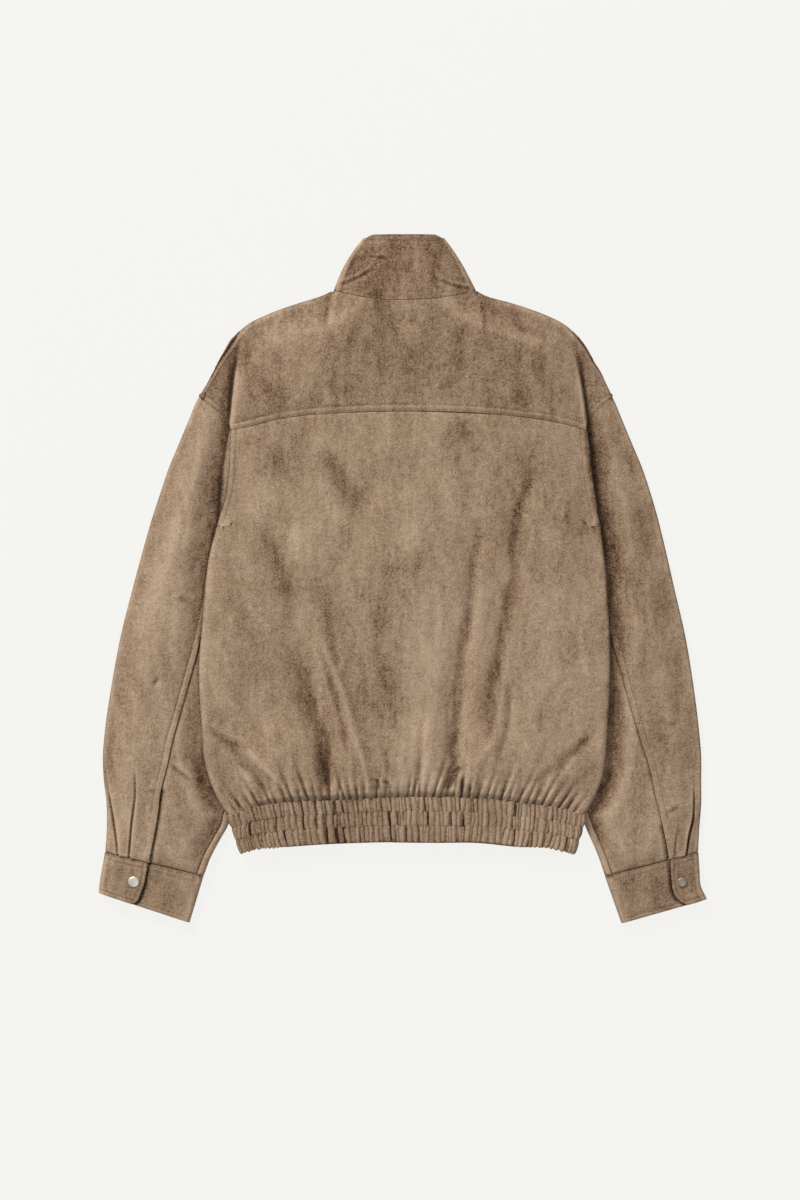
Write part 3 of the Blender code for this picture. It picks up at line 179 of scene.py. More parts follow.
def through(at, values, where):
    """Cubic through the points (at, values): on each piece, Hermite's cubic with mean slopes."""
    slope = np.gradient(values, at)
    k = np.clip(np.searchsorted(at, where) - 1, 0, len(at) - 2)
    step = at[k + 1] - at[k]
    t = np.clip((where - at[k]) / step, 0.0, 1.0)
    return ((2 * t ** 3 - 3 * t ** 2 + 1) * values[k] + (t ** 3 - 2 * t ** 2 + t) * step * slope[k]
            + (3 * t ** 2 - 2 * t ** 3) * values[k + 1] + (t ** 3 - t ** 2) * step * slope[k + 1])


def across(table, side, y):
    """Distance from the centre line at height y, on the left (side -1) or right (side 1)."""
    rows = table[np.argsort(table[:, 0])]
    return through(rows[:, 0], rows[:, 1 if side < 0 else 2], np.asarray(y, float))


def along(line, x):
    """Height y of a seam at x."""
    return through(line[:, 0], line[:, 1], np.asarray(x, float))


def either(table, x, y):
    """Distance from the centre line on whichever side each x lies."""
    return np.where(x < 0.0, across(table, -1, y), across(table, 1, y))


OUTLINE_Y = np.linspace(-321.4, 337.5, 240)
OUTLINE_RUNS = [np.stack((side * across(OUTLINE, side, OUTLINE_Y), OUTLINE_Y), 1)
                for side in (-1, 1)]


def outline_distance(x, y):
    """Shortest distance from points to the outer fold: the least over all its short chords."""
    x, y = np.broadcast_arrays(np.asarray(x, float), np.asarray(y, float))
    best = np.full(x.shape, 1.0e6)
    for run in OUTLINE_RUNS:
        a, step = run[:-1], np.diff(run, axis=0)
        dx, dy = x[..., None] - a[:, 0], y[..., None] - a[:, 1]
        share = np.clip((dx * step[:, 0] + dy * step[:, 1]) / (step ** 2).sum(1), 0.0, 1.0)
        away = np.hypot(dx - share * step[:, 0], dy - share * step[:, 1])
        best = np.minimum(best, away.min(axis=-1))
    return best


def measure(path):
    """Running length along a path of points."""
    return np.concatenate(([0.0], np.cumsum(np.linalg.norm(np.diff(path, axis=0), axis=1))))


def sample(path, stations):
    """Points of a path at given running lengths."""
    reach = measure(path)
    return np.stack([np.interp(stations, reach, path[:, k]) for k in range(path.shape[1])], 1)


def divided(marks, counts):
    """Running lengths that cut each stretch between two marks into its count of even steps."""
    parts = [np.linspace(a, b, n + 1)[:-1] for a, b, n in zip(marks[:-1], marks[1:], counts)]
    return np.concatenate(parts + [marks[-1:]])


def half_round(away, radius):
    """Height over the middle of a half-round fold, at a distance from its outermost line."""
    return np.sqrt(np.maximum(radius ** 2 - (radius - np.minimum(away, radius)) ** 2, 0.0))


print("outer fold:", round(float(measure(OUTLINE_RUNS[0])[-1])), "mm long on the left")

# %% [markdown]
# ## Creases
# Suede creases where it is folded, pulled by a seam or pressed. Sculpting them by hand works, and
# so does a cloth simulation, but neither can be put exactly where it belongs. Here each crease is
# a soft trough along a short line: the line, its half width, its depth, and a lip, which is how
# far the cloth swells up on the left of the line. The signed distance to the line does the rest.

# %% Troughs along lines
def nearest(x, y, points, smoothly=True):
    """Signed distance to a line, positive on its left, and the share of its length reached."""
    points = np.asarray(points, float)
    if smoothly and len(points) > 2:
        at = np.arange(len(points), dtype=float)
        fine = np.linspace(0.0, at[-1], 5 * (len(points) - 1) + 1)
        points = np.stack([through(at, points[:, k], fine) for k in (0, 1)], 1)
    reach = measure(points)
    best = np.full(np.shape(x), 1.0e9)
    signed = np.zeros(np.shape(x))
    share = np.zeros(np.shape(x))
    for k in range(len(points) - 1):
        step = points[k + 1] - points[k]
        length = reach[k + 1] - reach[k]
        dx, dy = x - points[k, 0], y - points[k, 1]
        t = np.clip((dx * step[0] + dy * step[1]) / length ** 2, 0.0, 1.0)
        away = np.hypot(dx - t * step[0], dy - t * step[1])
        closer = away < best
        best = np.where(closer, away, best)
        signed = np.where(closer, np.sign(step[0] * dy - step[1] * dx) * away, signed)
        share = np.where(closer, (reach[k] + t * length) / reach[-1], share)
    return signed, share


def crease(x, y, points, half, depth, lip=0.0, start=0.25, end=0.25):
    """Trough along a line: depth times a bell of the distance, less a lip beside it.

    start and end are the shares of the line over which the trough fades in and out.
    """
    signed, share = nearest(x, y, points)
    fade = smooth(share / max(start, 1e-3)) * smooth((1.0 - share) / max(end, 1e-3))
    bell = np.exp(-(signed / half) ** 2)
    swell = lip * np.exp(-((signed - 2.0 * half) / (1.3 * half)) ** 2)
    return depth * fade * (bell - swell)


def creases(table, x, y):
    """Sum of a table's troughs; a row holds half width, depth, lip, both fades and the line."""
    total = np.zeros(np.broadcast(x, y).shape)
    for half, depth, lip, start, end, points in table:
        total += crease(x, y, points, half, depth, lip, start, end)
    return total


def ripple(x, y, wave_x, wave_y, seed, count=9):
    """Slow unevenness from -1 to 1: a mean of sines with seeded directions and phases."""
    draw = np.random.default_rng(seed)
    total = np.zeros(np.broadcast(x, y).shape)
    for _ in range(count):
        kx, ky, phase = draw.uniform(-1, 1), draw.uniform(-1, 1), draw.uniform(0, 2 * np.pi)
        total += np.sin(2 * np.pi * (kx * x / wave_x + ky * y / wave_y) + phase)
    return total / count ** 0.5 / 1.5


print("crease test:", round(float(crease(0.0, 0.0, ((-9, 0), (9, 0)), 3.0, 1.0)), 2))

# %% [markdown]
# ## The lie of the layers
# A flat lay is a stack: fronts on the table, sleeves beside them, and the back over all. The body
# is wider than the armholes, so its sides fold over the sleeves and leave a step. Each height
# below is a smooth function of x and y, so panels that meet at a seam meet at one height.

# %% Gathers and folds of the back
GATHERS = (
    (-188.0, 2.2, 34.0, 4.5), (-178.0, 1.8, 26.0, 4.0), (-160.0, 4.2, 70.0, 6.5),
    (-145.0, 2.2, 30.0, 4.5), (-130.0, 2.6, 40.0, 5.0), (-114.0, 2.2, 30.0, 4.5),
    (-87.0, 4.6, 110.0, 7.0), (-64.0, 2.4, 36.0, 5.0), (-44.0, 2.6, 34.0, 4.5),
    (-34.0, 2.0, 24.0, 4.0), (-18.0, 2.2, 30.0, 4.5), (9.0, 3.0, 44.0, 5.5),
    (18.5, 2.0, 24.0, 4.0), (49.0, 5.0, 100.0, 7.5), (65.0, 2.0, 26.0, 4.0),
    (78.0, 2.2, 30.0, 4.5), (105.0, 3.2, 40.0, 5.5), (123.0, 3.0, 36.0, 5.0),
    (146.0, 2.4, 40.0, 5.0), (163.0, 2.2, 34.0, 4.5), (184.0, 2.2, 30.0, 4.5))
FOLDS = (
    (-160.0, 43.0, -118.0, -130.0, 20.0, 3.2), (-118.0, -130.0, -88.0, -235.0, 15.0, 3.0),
    (88.0, 75.0, 66.0, -118.0, 18.0, 2.6), (66.0, -118.0, 48.0, -235.0, 14.0, 3.0),
    (136.0, 118.0, 98.0, -170.0, 16.0, 1.8), (218.0, -184.0, 160.0, -235.0, 9.0, 2.2),
    (-213.0, -187.0, -165.0, -235.0, 9.0, 2.2), (-80.0, 118.0, -52.0, 54.0, 14.0, 1.2))


def fold_troughs(x, y):
    """Depth of the long soft folds: a bell across a straight line that fades past its ends."""
    total = np.zeros(np.broadcast(x, y).shape)
    for x_top, y_top, x_foot, y_foot, half, depth in FOLDS:
        share = np.clip((y - y_top) / (y_foot - y_top), 0.0, 1.0)
        middle = x_top + (x_foot - x_top) * share
        fade = np.exp(-((y - y_top - (y_foot - y_top) * share) / 24.0) ** 2)
        total += (depth * smooth(share / 0.25 + 0.35) * fade
                  * np.exp(-((x - middle) / half) ** 2))
    return total


def gather_troughs(x, y):
    """Depth of the gathers: each is a bell that widens and dies away above the hem seam."""
    total = np.zeros(np.broadcast(x, y).shape)
    above = np.maximum(y - along(HEM, x), 0.0)
    widen = either(EDGE, x, y) / 208.0
    for at, depth, reach, half in GATHERS:
        spread = half * (1.0 + above / 60.0)
        total += depth * np.exp(-above / reach) * np.exp(-((x - at * widen) / spread) ** 2)
    return total


# %% Heights of the sleeve, the back and the yoke
def fold_height(y):
    """Thickness of the flattened fold along the outer edge."""
    heights = (CUFF_TOP, UNDER_BODY, UNDER_BODY, SHOULDER)
    return np.interp(y, (-349.0, -290.0, 186.0, 292.5), heights)


def edge_top(y):
    """Top of the body along its folded sides, which falls over the last 32 mm above the hem."""
    return np.interp(y, (HEM_CORNER, -245.0), (HEM_TOP, EDGE_TOP))


def sleeve_top(x, y):
    """Top of the sleeve: flat at both folds with a low crown between them."""
    base = fold_height(y)
    rise = smooth((outline_distance(x, y) - base / 2.0) / 34.0)
    inside = np.where(y > HEM_CORNER, either(EDGE, x, y), either(INNER, x, y) + 3.0)
    return base + (SLEEVE_CROWN - base) * rise * smooth((np.abs(x) - inside - 7.0) / 26.0)


def back_top(x, y):
    """Top of the back: edge height, a slow swell, a puff above the hem, less all troughs."""
    inside = either(EDGE, x, y) - np.abs(x)
    edge = edge_top(y)
    above = y - along(HEM, x)
    puff = HEM_PUFF * smooth((inside - 4.0) / 60.0) * smooth((120.0 - above) / 90.0)
    full = edge + BODY_SWELL * smooth(inside / 90.0) + puff
    troughs = (fold_troughs(x, y) + gather_troughs(x, y)) * smooth((inside - 6.0) / 22.0)
    seam = smooth((above - 1.0) / 17.0)
    body = HEM_TOP + (full - HEM_TOP) * seam - troughs * (0.45 + 0.55 * seam)
    shoulder = smooth((outline_distance(x, y) - SHOULDER / 2.0) / 34.0)
    return SHOULDER + (body - SHOULDER) * shoulder


def yoke_top(x, y):
    """Top of the yoke: the body's level, the sleeve's level and the crease between them."""
    level = smooth((either(EDGE, x, y) - np.abs(x)) / STEP)
    low = sleeve_top(x, y)
    return low + (back_top(x, y) - low) * level


print("back at the middle:", round(float(back_top(0.0, 0.0)), 1), "mm above the table")

# %% [markdown]
# ## From a grid to a panel
# A panel of suede is a wall: its outer face is a grid of points, its inner face is the same grid
# moved in by the thickness along the normals, and a rim joins them. Solidify would do this too,
# but it leaves the rim's corners to chance where a panel curls round a fold.

# %% Walls from grids
# Strength and width of the painted shade along the jacket's outline, where the folds turn away from
# the light
RIM_SHADE, RIM_WIDTH = 0.75, 4.0
made = {}


def grid_normals(grid):
    """Unit normal at every point: the cross product of the grid's two slopes."""
    normal = np.cross(np.gradient(grid, axis=0), np.gradient(grid, axis=1))
    return normal / np.maximum(np.linalg.norm(normal, axis=2, keepdims=True), 1e-9)


def quads(rows, columns, start=0):
    """Corner indices of every cell of a grid."""
    a = (start + np.arange(rows - 1)[:, None] * columns + np.arange(columns - 1)).ravel()
    return np.stack((a, a + 1, a + columns + 1, a + columns), 1)


def border(rows, columns, start=0):
    """Indices round the border of a grid, in order."""
    index = start + np.arange(rows * columns).reshape(rows, columns)
    return np.concatenate((index[0, :-1], index[:-1, -1], index[-1, :0:-1], index[:0:-1, 0]))


def mesh_object(name, points, faces, values=None):
    """Smooth-shaded object from points in millimetres; values are named per-point attributes."""
    mesh = bpy.data.meshes.new(name)
    faces = faces.tolist() if isinstance(faces, np.ndarray) else faces
    mesh.from_pydata((np.asarray(points) * 0.001).tolist(), [], faces)
    mesh.polygons.foreach_set("use_smooth", np.ones(len(mesh.polygons), bool))
    for key, array in (values or {}).items():
        layer = mesh.attributes.new(key, "FLOAT", "POINT")
        layer.data.foreach_set("value", np.asarray(array, np.float32).ravel())
    mesh.update()
    thing = bpy.data.objects.new(name, mesh)
    bpy.context.scene.collection.objects.link(thing)
    made[name] = thing
    return thing


def wall(name, outer, thickness, facing, values=None, cut=0):
    """Closed wall on an outer grid. facing is 1 where the grid's own normal looks outwards.

    A value named relief is painted shade and painted highlight, which sets how light the colour
    is made. It is lowered along the jacket's outline, a painted shade where the fold turns away
    from the light, by a bell RIM_WIDTH wide.
    cut is the first row after a jump of the grid's ends, if it has one: the rows beside the jump
    take the normals of their neighbours, and the narrow faces between them are not smoothed.
    """
    normals = grid_normals(outer)
    if cut:
        normals[cut - 1:cut + 1] = normals[[cut - 2, cut + 1]]
    inner = outer - facing * thickness * normals
    rows, columns = outer.shape[:2]
    count = rows * columns
    first, second = border(rows, columns), border(rows, columns, count)
    faces = np.concatenate((quads(rows, columns), quads(rows, columns, count)[:, ::-1],
                            np.stack((first, second, np.roll(second, -1), np.roll(first, -1)), 1)))
    points = np.concatenate((outer.reshape(-1, 3), inner.reshape(-1, 3)))
    if facing < 0:
        faces = faces[:, ::-1]
    values = dict(values or {})
    if "relief" in values:
        rim = outline_distance(outer[..., 0], outer[..., 1])
        values["relief"] = values["relief"] - RIM_SHADE * np.exp(-(rim / RIM_WIDTH) ** 1.5)
    twice = {key: np.concatenate((v.ravel(), v.ravel())) for key, v in values.items()}
    thing = mesh_object(name, points, faces, twice)
    if cut:
        smooth_faces = np.ones(len(faces), bool)
        between = np.arange((cut - 1) * (columns - 1), cut * (columns - 1))
        smooth_faces[between] = smooth_faces[between + (rows - 1) * (columns - 1)] = False
        thing.data.polygons.foreach_set("use_smooth", smooth_faces)
    print(name, rows, "x", columns, "points,", 2 * len(faces), "triangles")
    return thing

# %% [markdown]
# ## Painted shade and highlight
# The colour is painted darker where the cloth lies in a hollow and lighter along a ridge, as
# painted shade and painted highlight. Each grid measures that itself: the height of a point less
# the mean height of the cloth a few millimetres round it. Beside the body, where the sleeve lies
# deep in the valley under the folded edge, a painted shadow darkens it.

# %% Hollows, which drive the painted shade and highlight
def hollows(grid, times=18, full=1.1):
    """Height less its mean round about, from -1 in a hollow to 1 on a ridge."""
    mean = grid[..., 2].copy()
    for _ in range(times):
        for axis in (0, 1):
            padded = np.pad(mean, [(1, 1) if k == axis else (0, 0) for k in (0, 1)], "edge")
            low, high = (np.take(padded, np.arange(mean.shape[axis]) + k, axis) for k in (0, 2))
            mean = 0.5 * mean + 0.25 * (low + high)
    return np.clip((grid[..., 2] - mean) / full, -1.5, 1.0)


# %% Painted shadow beside the folded edge
def painted_shadow_beside_body(x, y):
    """Painted shadow beside the folded edge: a bell 5 to 20 mm wide plus a narrow one.

    Together they reach 2 at the edge of the left side, and less on the right and near the hem.
    """
    away = np.maximum(np.abs(x) - either(EDGE, x, y), 0.0)
    width = np.interp(y, (-260.0, 20.0, 140.0, 290.0), (8.0, 20.0, 14.0, 5.0))
    ends = smooth((y + 282.0) / 30.0) * smooth((292.0 - y) / 50.0)
    full = np.interp(y, (-180.0, -40.0), (0.7, 1.0))
    near = np.interp(y, (-60.0, 40.0), (4.0, 8.5))
    deep = np.interp(y, (-60.0, 40.0), (0.6, 1.0)) - 0.4 * (x > 0.0)
    return (np.exp(-(away / width) ** 1.3) + deep * np.exp(-(away / near) ** 2)) * ends * full


# %% [markdown]
# ## Sleeves
# Each sleeve is cut in two pieces. The outer one starts at the topstitched seam on the back of
# the sleeve, goes over the outer fold, under the arm and round the inner fold to the underarm
# seam; the under sleeve closes the gap between both seams. Rows run across the sleeve, from the
# armhole to the cuff, and each row is a flattened loop of the sleeve's own height there.

# %% Rows across a sleeve
ROW_AT = np.arange(len(SLEEVE_ROWS), dtype=float)
LAST_ROW = ROW_AT[-1]
FIRST_WHOLE = 6.0
TOP_STEPS, CAP_STEPS = 90, 12


def row_line(side, t):
    """Outer and inner end of row t in the plane, as distances from the centre line."""
    y_outer, y_inner = (float(through(ROW_AT, SLEEVE_ROWS[:, k], t)) for k in (0, 1))
    return (np.array((float(across(OUTLINE, side, y_outer)), y_outer)),
            np.array((float(across(INNER, side, y_inner)), y_inner)))


def row_points(side, t, reach):
    """Points in the plane at given distances from the outer end of a row."""
    outer, inner = row_line(side, t)
    return outer + np.asarray(reach)[:, None] * (inner - outer) / np.linalg.norm(inner - outer)


def crossing(side, t, table, clear=0.0):
    """Distance along a row at which it reaches a seam."""
    outer, inner = row_line(side, t)
    reach = np.linspace(0.0, np.linalg.norm(inner - outer), 400)
    points = row_points(side, t, reach)
    beyond = points[:, 0] - across(table, side, points[:, 1]) - clear
    return float(np.interp(0.0, -beyond, reach))


print("rows of seam points along a sleeve:", len(SLEEVE_ROWS))

# %% A loop round the sleeve
def sleeve_section(side, t):
    """Loop round the sleeve: over the top, round the outer fold as a half circle, back along the
    table and round the inner fold as a second half circle up to the underarm seam."""
    outer, inner = row_line(side, t)
    width = np.linalg.norm(inner - outer)
    y_outer, y_inner = outer[1], inner[1]
    radius, inner_radius = float(fold_height(y_outer)) / 2.0, float(fold_height(y_inner)) / 2.0
    whole = t >= FIRST_WHOLE
    top_end = width - inner_radius if whole else width
    probe = row_points(side, t, (0.0, 6.0))
    rate = float(outline_distance(side * probe[1:, 0], probe[1:, 1])[0]) / 6.0
    cap = radius / rate * (1.0 - np.cos(np.linspace(0.0, np.pi / 2.0, CAP_STEPS + 1)))
    top = np.linspace(top_end, cap[-1], TOP_STEPS + 1)[:-1]
    reach = np.concatenate((top, cap[::-1], cap[1:]))
    flat = row_points(side, t, reach)
    away = outline_distance(side * flat[:, 0], flat[:, 1])
    near = half_round(away, radius)
    height = np.where(away < radius, radius + near, sleeve_top(side * flat[:, 0], flat[:, 1]))
    fold = TOP_STEPS + CAP_STEPS
    height[fold + 1:] = (radius - near)[fold + 1:]
    height[fold] = radius
    reach = np.concatenate((reach, np.linspace(cap[-1], top_end, TOP_STEPS + 1)[1:]))
    height = np.concatenate((height, np.zeros(TOP_STEPS)))
    if whole:
        turn = np.linspace(0.0, np.pi, 25)[1:]
        past = np.linspace(top_end, width - UNDERARM, 6)[1:]
        flat = row_points(side, t, past)
        reach = np.concatenate((reach, top_end + inner_radius * np.sin(turn), past))
        height = np.concatenate((height, inner_radius * (1.0 - np.cos(turn)),
                                 sleeve_top(side * flat[:, 0], flat[:, 1])))
    flat = row_points(side, t, reach)
    path = np.column_stack((side * flat[:, 0], flat[:, 1], height))
    return path, measure(path)[fold], width, reach


print("points round the cuff end:", len(sleeve_section(-1, LAST_ROW)[0]))

# %% A row of the outer sleeve
# Distances from the back seam at which there is a column: close over the topstitched welt
WELT = np.array((0.0, 0.6, 1.3, 2.4, 3.8, 5.2, 6.2, 6.9, 7.6, 8.4, 9.6))


def outer_line(side, t):
    """One row of the outer sleeve: points and each point's distance from the back seam."""
    if FIRST_WHOLE - 1.0 < t < FIRST_WHOLE:
        low, high = (outer_line(side, row) for row in (FIRST_WHOLE - 1.0, FIRST_WHOLE))
        share = t - FIRST_WHOLE + 1.0
        return low[0] + (high[0] - low[0]) * share, low[1] + (high[1] - low[1]) * share
    path, fold, _, plan = sleeve_section(side, t)
    reach = measure(path)
    over = slice(0, TOP_STEPS + 1)
    first = np.interp(-(crossing(side, t, BACK_SEAM) - SEAM / 2.0), -plan[over], reach[over])
    table = TOP_STEPS + 2 * CAP_STEPS + 1
    if t < FIRST_WHOLE:
        stop = max(crossing(side, t, FRONT_ARMHOLE, SEAM), plan[table] + 0.6)
        last = np.interp(stop, plan[table:], reach[table:])
    else:
        last = reach[-1]
    radius = float(fold_height(row_line(side, t)[0][1])) / 2.0
    bend = fold + radius * 1.5708 * np.linspace(-1.0, 1.0, 11)
    welt = WELT * min(1.0, 0.4 * (bend[0] - first) / WELT[-1])
    upper = np.linspace(first + welt[-1], bend[0], 60)[1:-1]
    tail = np.linspace(0.0, 22.0, 8) * min(1.0, 0.75 * (last - bend[-1]) / 22.0)
    lower = np.linspace(bend[-1], last - tail[-1], 13)[1:-1]
    stations = np.concatenate((first + welt, upper, bend, lower, last - tail[::-1]))
    return sample(path, stations), stations - first


def even_rows(side, first, last, count):
    """Row numbers t that lie evenly along the sleeve."""
    t = np.linspace(first, last, 400)
    y = np.array([row_line(side, row)[0][1] + row_line(side, row)[1][1] for row in t])
    return np.interp(np.linspace(y[0], y[-1], count), y[::-1], t[::-1])


print("sleeve width at the elbow:", round(float(sleeve_section(-1, 9.0)[2])), "mm")

# %% [markdown]
# ## Creases of the back
# The gathers pull two long troughs out of the hem on either side of the middle, and shorter ones
# fan out to both corners. Where the jacket has been folded, short thin creases lie across it.
# A row holds half width, depth (less than nothing for a ridge), lip, the shares of the line over
# which it fades in and out, and the line's points.

# %% Crease tables of the back
BACK_CREASES = (
    (6.5, 3.4, 0.25, 0.30, 0.10,
     ((-135, -77), (-125, -99), (-115, -125), (-106, -154), (-97, -184), (-93, -213), (-88, -252))),
    (4.0, -2.0, 0.00, 0.30, 0.02,
     ((-102, -52), (-95, -77), (-84, -106), (-70, -140), (-59, -184), (-48, -216), (-42, -255))),
    (3.2, 1.8, 0.00, 0.30, 0.30, ((-99, -81), (-88, -118), (-77, -154), (-70, -191), (-65, -230))),
    (5.0, 1.6, 0.00, 0.30, 0.30, ((-55, -81), (-46, -118), (-42, -160))),
    (1.7, 0.7, 0.30, 0.20, 0.30, ((-38, -173), (-18, -173), (7, -181))),
    (1.7, 0.7, 0.30, 0.30, 0.30, ((-73, 10), (-46, 9), (-26, 10), (13, 8))),
    (1.6, 0.6, 0.30, 0.30, 0.30, ((-185, 19), (-160, 17))),
    (6.0, 1.2, 0.00, 0.40, 0.40, ((-153, 166), (-147, 144), (-147, 122))),
    (9.0, 1.7, 0.00, 0.30, 0.30, ((-101, 161), (-85, 131), (-63, 109), (-47, 68))),
    (8.0, 1.8, 0.00, 0.30, 0.30, ((-175, 68), (-157, 43), (-147, 21), (-146, -35))),
    (6.0, 3.2, 0.20, 0.12, 0.05,
     ((79, 77), (86, 50), (80, 14), (77, -30), (71, -67), (66, -103), (62, -154), (60, -191),
      (58, -220), (47, -254))),
    (5.5, 2.9, -0.20, 0.20, 0.20,
     ((148, 166), (150, 131), (144, 102), (132, 69), (126, 36), (129, 6), (122, -23), (115, -60),
      (108, -96), (100, -132), (93, -174))),
    (5.0, -2.2, 0.00, 0.30, 0.05,
     ((121, -37), (121, -89), (115, -132), (106, -184), (84, -216), (75, -248))),
    (3.0, 1.7, 0.00, 0.30, 0.30, ((123, -126), (121, -169), (111, -206), (104, -229))),
    (6.0, 1.5, 0.00, 0.30, 0.30, ((181, -110), (164, -154), (153, -199))),
    (3.6, 1.4, -0.30, 0.25, 0.25, ((231, -171), (205, -198), (186, -220), (167, -246))),
    (4.5, 1.5, -0.30, 0.30, 0.20, ((233, -209), (215, -228), (198, -254))),
    (6.0, -1.3, 0.00, 0.30, 0.30, ((207, -51), (210, -84), (215, -131))),
    (3.6, 1.2, 0.35, 0.15, 0.30, ((-236, -173), (-216, -186), (-190, -198), (-181, -207))),
    (4.0, -1.5, 0.00, 0.30, 0.10, ((-189, -197), (-157, -228), (-127, -259))),
    (4.0, 2.0, 0.00, 0.30, 0.15, ((-201, -207), (-180, -228), (-155, -254))),
    (8.0, 2.0, 0.00, 0.30, 0.20, ((-167, -125), (-154, -165), (-144, -202), (-137, -246))),
    (9.0, -1.6, 0.00, 0.30, 0.10, ((-149, -110), (-125, -169), (-110, -206), (-99, -255))),
    (4.5, 2.0, 0.00, 0.30, 0.10, ((24, -152), (18, -191), (16, -220), (10, -254))),
    (5.5, -1.5, 0.00, 0.30, 0.10, ((44, -150), (44, -216), (35, -254))),
    (5.5, -1.3, 0.00, 0.30, 0.10, ((0, -143), (-4, -216), (-8, -254))),
    (3.5, 1.5, 0.00, 0.30, 0.30, ((-23, -195), (-18, -232))),
    (3.0, 3.6, 0.50, 0.35, 0.02, ((74, -222), (62, -225), (53, -242), (46, -257))),
    (2.2, 2.4, 0.30, 0.30, 0.02, ((68, -232), (66, -259))),
    (1.8, 1.8, 0.50, 0.30, 0.02, ((-39, -236), (-31, -238), (-26, -259))),
    (1.8, 1.6, 0.50, 0.30, 0.02, ((-29, -238), (-19, -240), (-15, -259))),
    (3.0, 1.6, 0.30, 0.30, 0.30, ((229, -21), (243, -22))),
    (5.0, 1.0, 0.00, 0.30, 0.30, ((39, -14), (32, -61), (38, -96))),
    (5.0, -0.9, 0.00, 0.30, 0.30, ((-127, 91), (-122, 21), (-108, -37))),
    (7.0, -1.0, 0.00, 0.30, 0.30, ((-11, 85), (18, 39), (23, -26))),
    (6.0, 1.0, 0.00, 0.30, 0.30, ((199, 161), (209, 115), (205, 68))),
    (6.0, -0.9, 0.00, 0.30, 0.30, ((-197, -26), (-204, -84), (-197, -143))),
)
# Small pleats caught in the hem seam: x at the hem, lean to the right per mm up, height, depth
HEM_PLEATS = (
    (-197, -0.5, 10, 1.0), (-189, -0.6, 16, 1.4), (-178, -0.6, 12, 1.2), (-170, -0.5, 22, 1.6),
    (-156, -0.45, 20, 1.8), (-150, -0.4, 12, 1.2), (-139, -0.3, 16, 1.4), (-130, -0.4, 24, 1.8),
    (-122, -0.2, 12, 1.2), (-112, -0.35, 26, 1.9), (-104, -0.2, 14, 1.2), (-96, -0.1, 12, 1.0),
    (-87, -0.1, 18, 1.9), (-78, 0.1, 14, 1.3), (-70, -0.3, 22, 1.6), (-63, -0.2, 14, 1.2),
    (-55, -0.1, 20, 1.7), (-47, 0.0, 12, 1.0), (-33, 0.1, 18, 1.3), (-24, 0.2, 12, 1.0),
    (-8, 0.1, 12, 1.0), (3, 0.2, 16, 1.5), (10, 0.2, 22, 1.9), (17, 0.05, 24, 1.7),
    (24, 0.2, 14, 1.1), (33, 0.35, 26, 1.8), (41, 0.4, 18, 1.3), (57, 0.2, 20, 1.8),
    (66, 0.1, 26, 2.0), (75, 0.15, 20, 1.6), (85, 0.3, 14, 1.2), (95, 0.35, 18, 1.4),
    (103, 0.3, 12, 1.1), (112, 0.35, 22, 1.8), (121, 0.3, 14, 1.2), (132, 0.5, 20, 1.8),
    (142, 0.45, 16, 1.4), (150, 0.5, 12, 1.1), (160, 0.5, 22, 1.8), (169, 0.6, 14, 1.2),
    (180, 0.6, 18, 1.6), (189, 0.6, 12, 1.1), (198, 0.6, 10, 0.9))

# Creases wider than BROAD are laid at SOFTENED of their depth
BROAD, SOFTENED = 4.3, 0.68

# Broad soft bands along the folds, partly painted shade of the folds and partly the nap's own
# uneven tone; a negative strength makes a lighter band: half width, strength, fade in, fade out,
# points
SHADE_AND_NAP_BANDS = (
    (16, 0.75, 0.3, 0.3, ((-104, 150), (-73, 115), (-56, 74))),
    (8, 0.4, 0.3, 0.3, ((-151, 158), (-147, 110))),
    (14, 0.6, 0.3, 0.3, ((-162, 66), (-142, 10), (-147, -38))),
    (15, 0.6, 0.3, 0.2, ((-145, -66), (-117, -118), (-102, -167), (-90, -240))),
    (6, 0.45, 0.3, 0.3, ((-97, 20), (-89, -55), (-72, -122))),
    (10, 0.4, 0.2, 0.3, ((86, 52), (78, -8), (66, -90), (58, -150), (50, -245))),
    (13, 0.45, 0.2, 0.3, ((150, 176), (146, 126), (130, 66), (126, 0))),
    (11, 0.5, 0.3, 0.3, ((128, 34), (124, -20), (112, -80), (100, -140), (88, -200))),
    (18, 0.5, 0.3, 0.3, ((196, 104), (206, 24), (204, -40))),
    (22, 0.35, 0.3, 0.3, ((48, 186), (92, 128))),
    (12, 0.4, 0.4, 0.1, ((70, -200), (60, -250))),
    (12, 0.5, 0.3, 0.3, ((-20, -10), (-30, -90), (-26, -170))),
    (20, -0.5, 0.3, 0.3, ((-128, 70), (-122, 10))),
    (20, -0.35, 0.3, 0.3, ((-14, 60), (10, 20))),
    (16, -0.4, 0.3, 0.3, ((34, -60), (20, -150), (14, -220))),
    (14, -0.4, 0.3, 0.3, ((-176, -130), (-150, -190))))


# %% Relief of the back
def shade_and_nap_bands(x, y):
    """Darkness of the bands, painted shade along the folds with the nap's own tone, uneven along
    their length.
    """
    bands = [(half, strength, 0.0, *rest) for half, strength, *rest in SHADE_AND_NAP_BANDS]
    return creases(bands, x, y) * (1.0 + 0.5 * ripple(x, y, 24.0, 40.0, 15, 12))


def hem_pleats(x, y):
    """Depth of the small pleats: a narrow bell, beside a low ridge, that leans and dies away."""
    above = np.maximum(y - along(HEM, x), 0.0)
    total = np.zeros(np.broadcast(x, y).shape)
    for at, lean, height, depth in HEM_PLEATS:
        bell = np.exp(-((x - at - lean * above) / (1.2 + 0.06 * above)) ** 2)
        ridge = np.exp(-((x - at - 3.0 - (lean + 0.05) * above) / (1.5 + 0.08 * above)) ** 2)
        total += depth * np.exp(-(above / (1.3 * height)) ** 1.5) * (2.3 * bell - 0.8 * ridge)
    return total


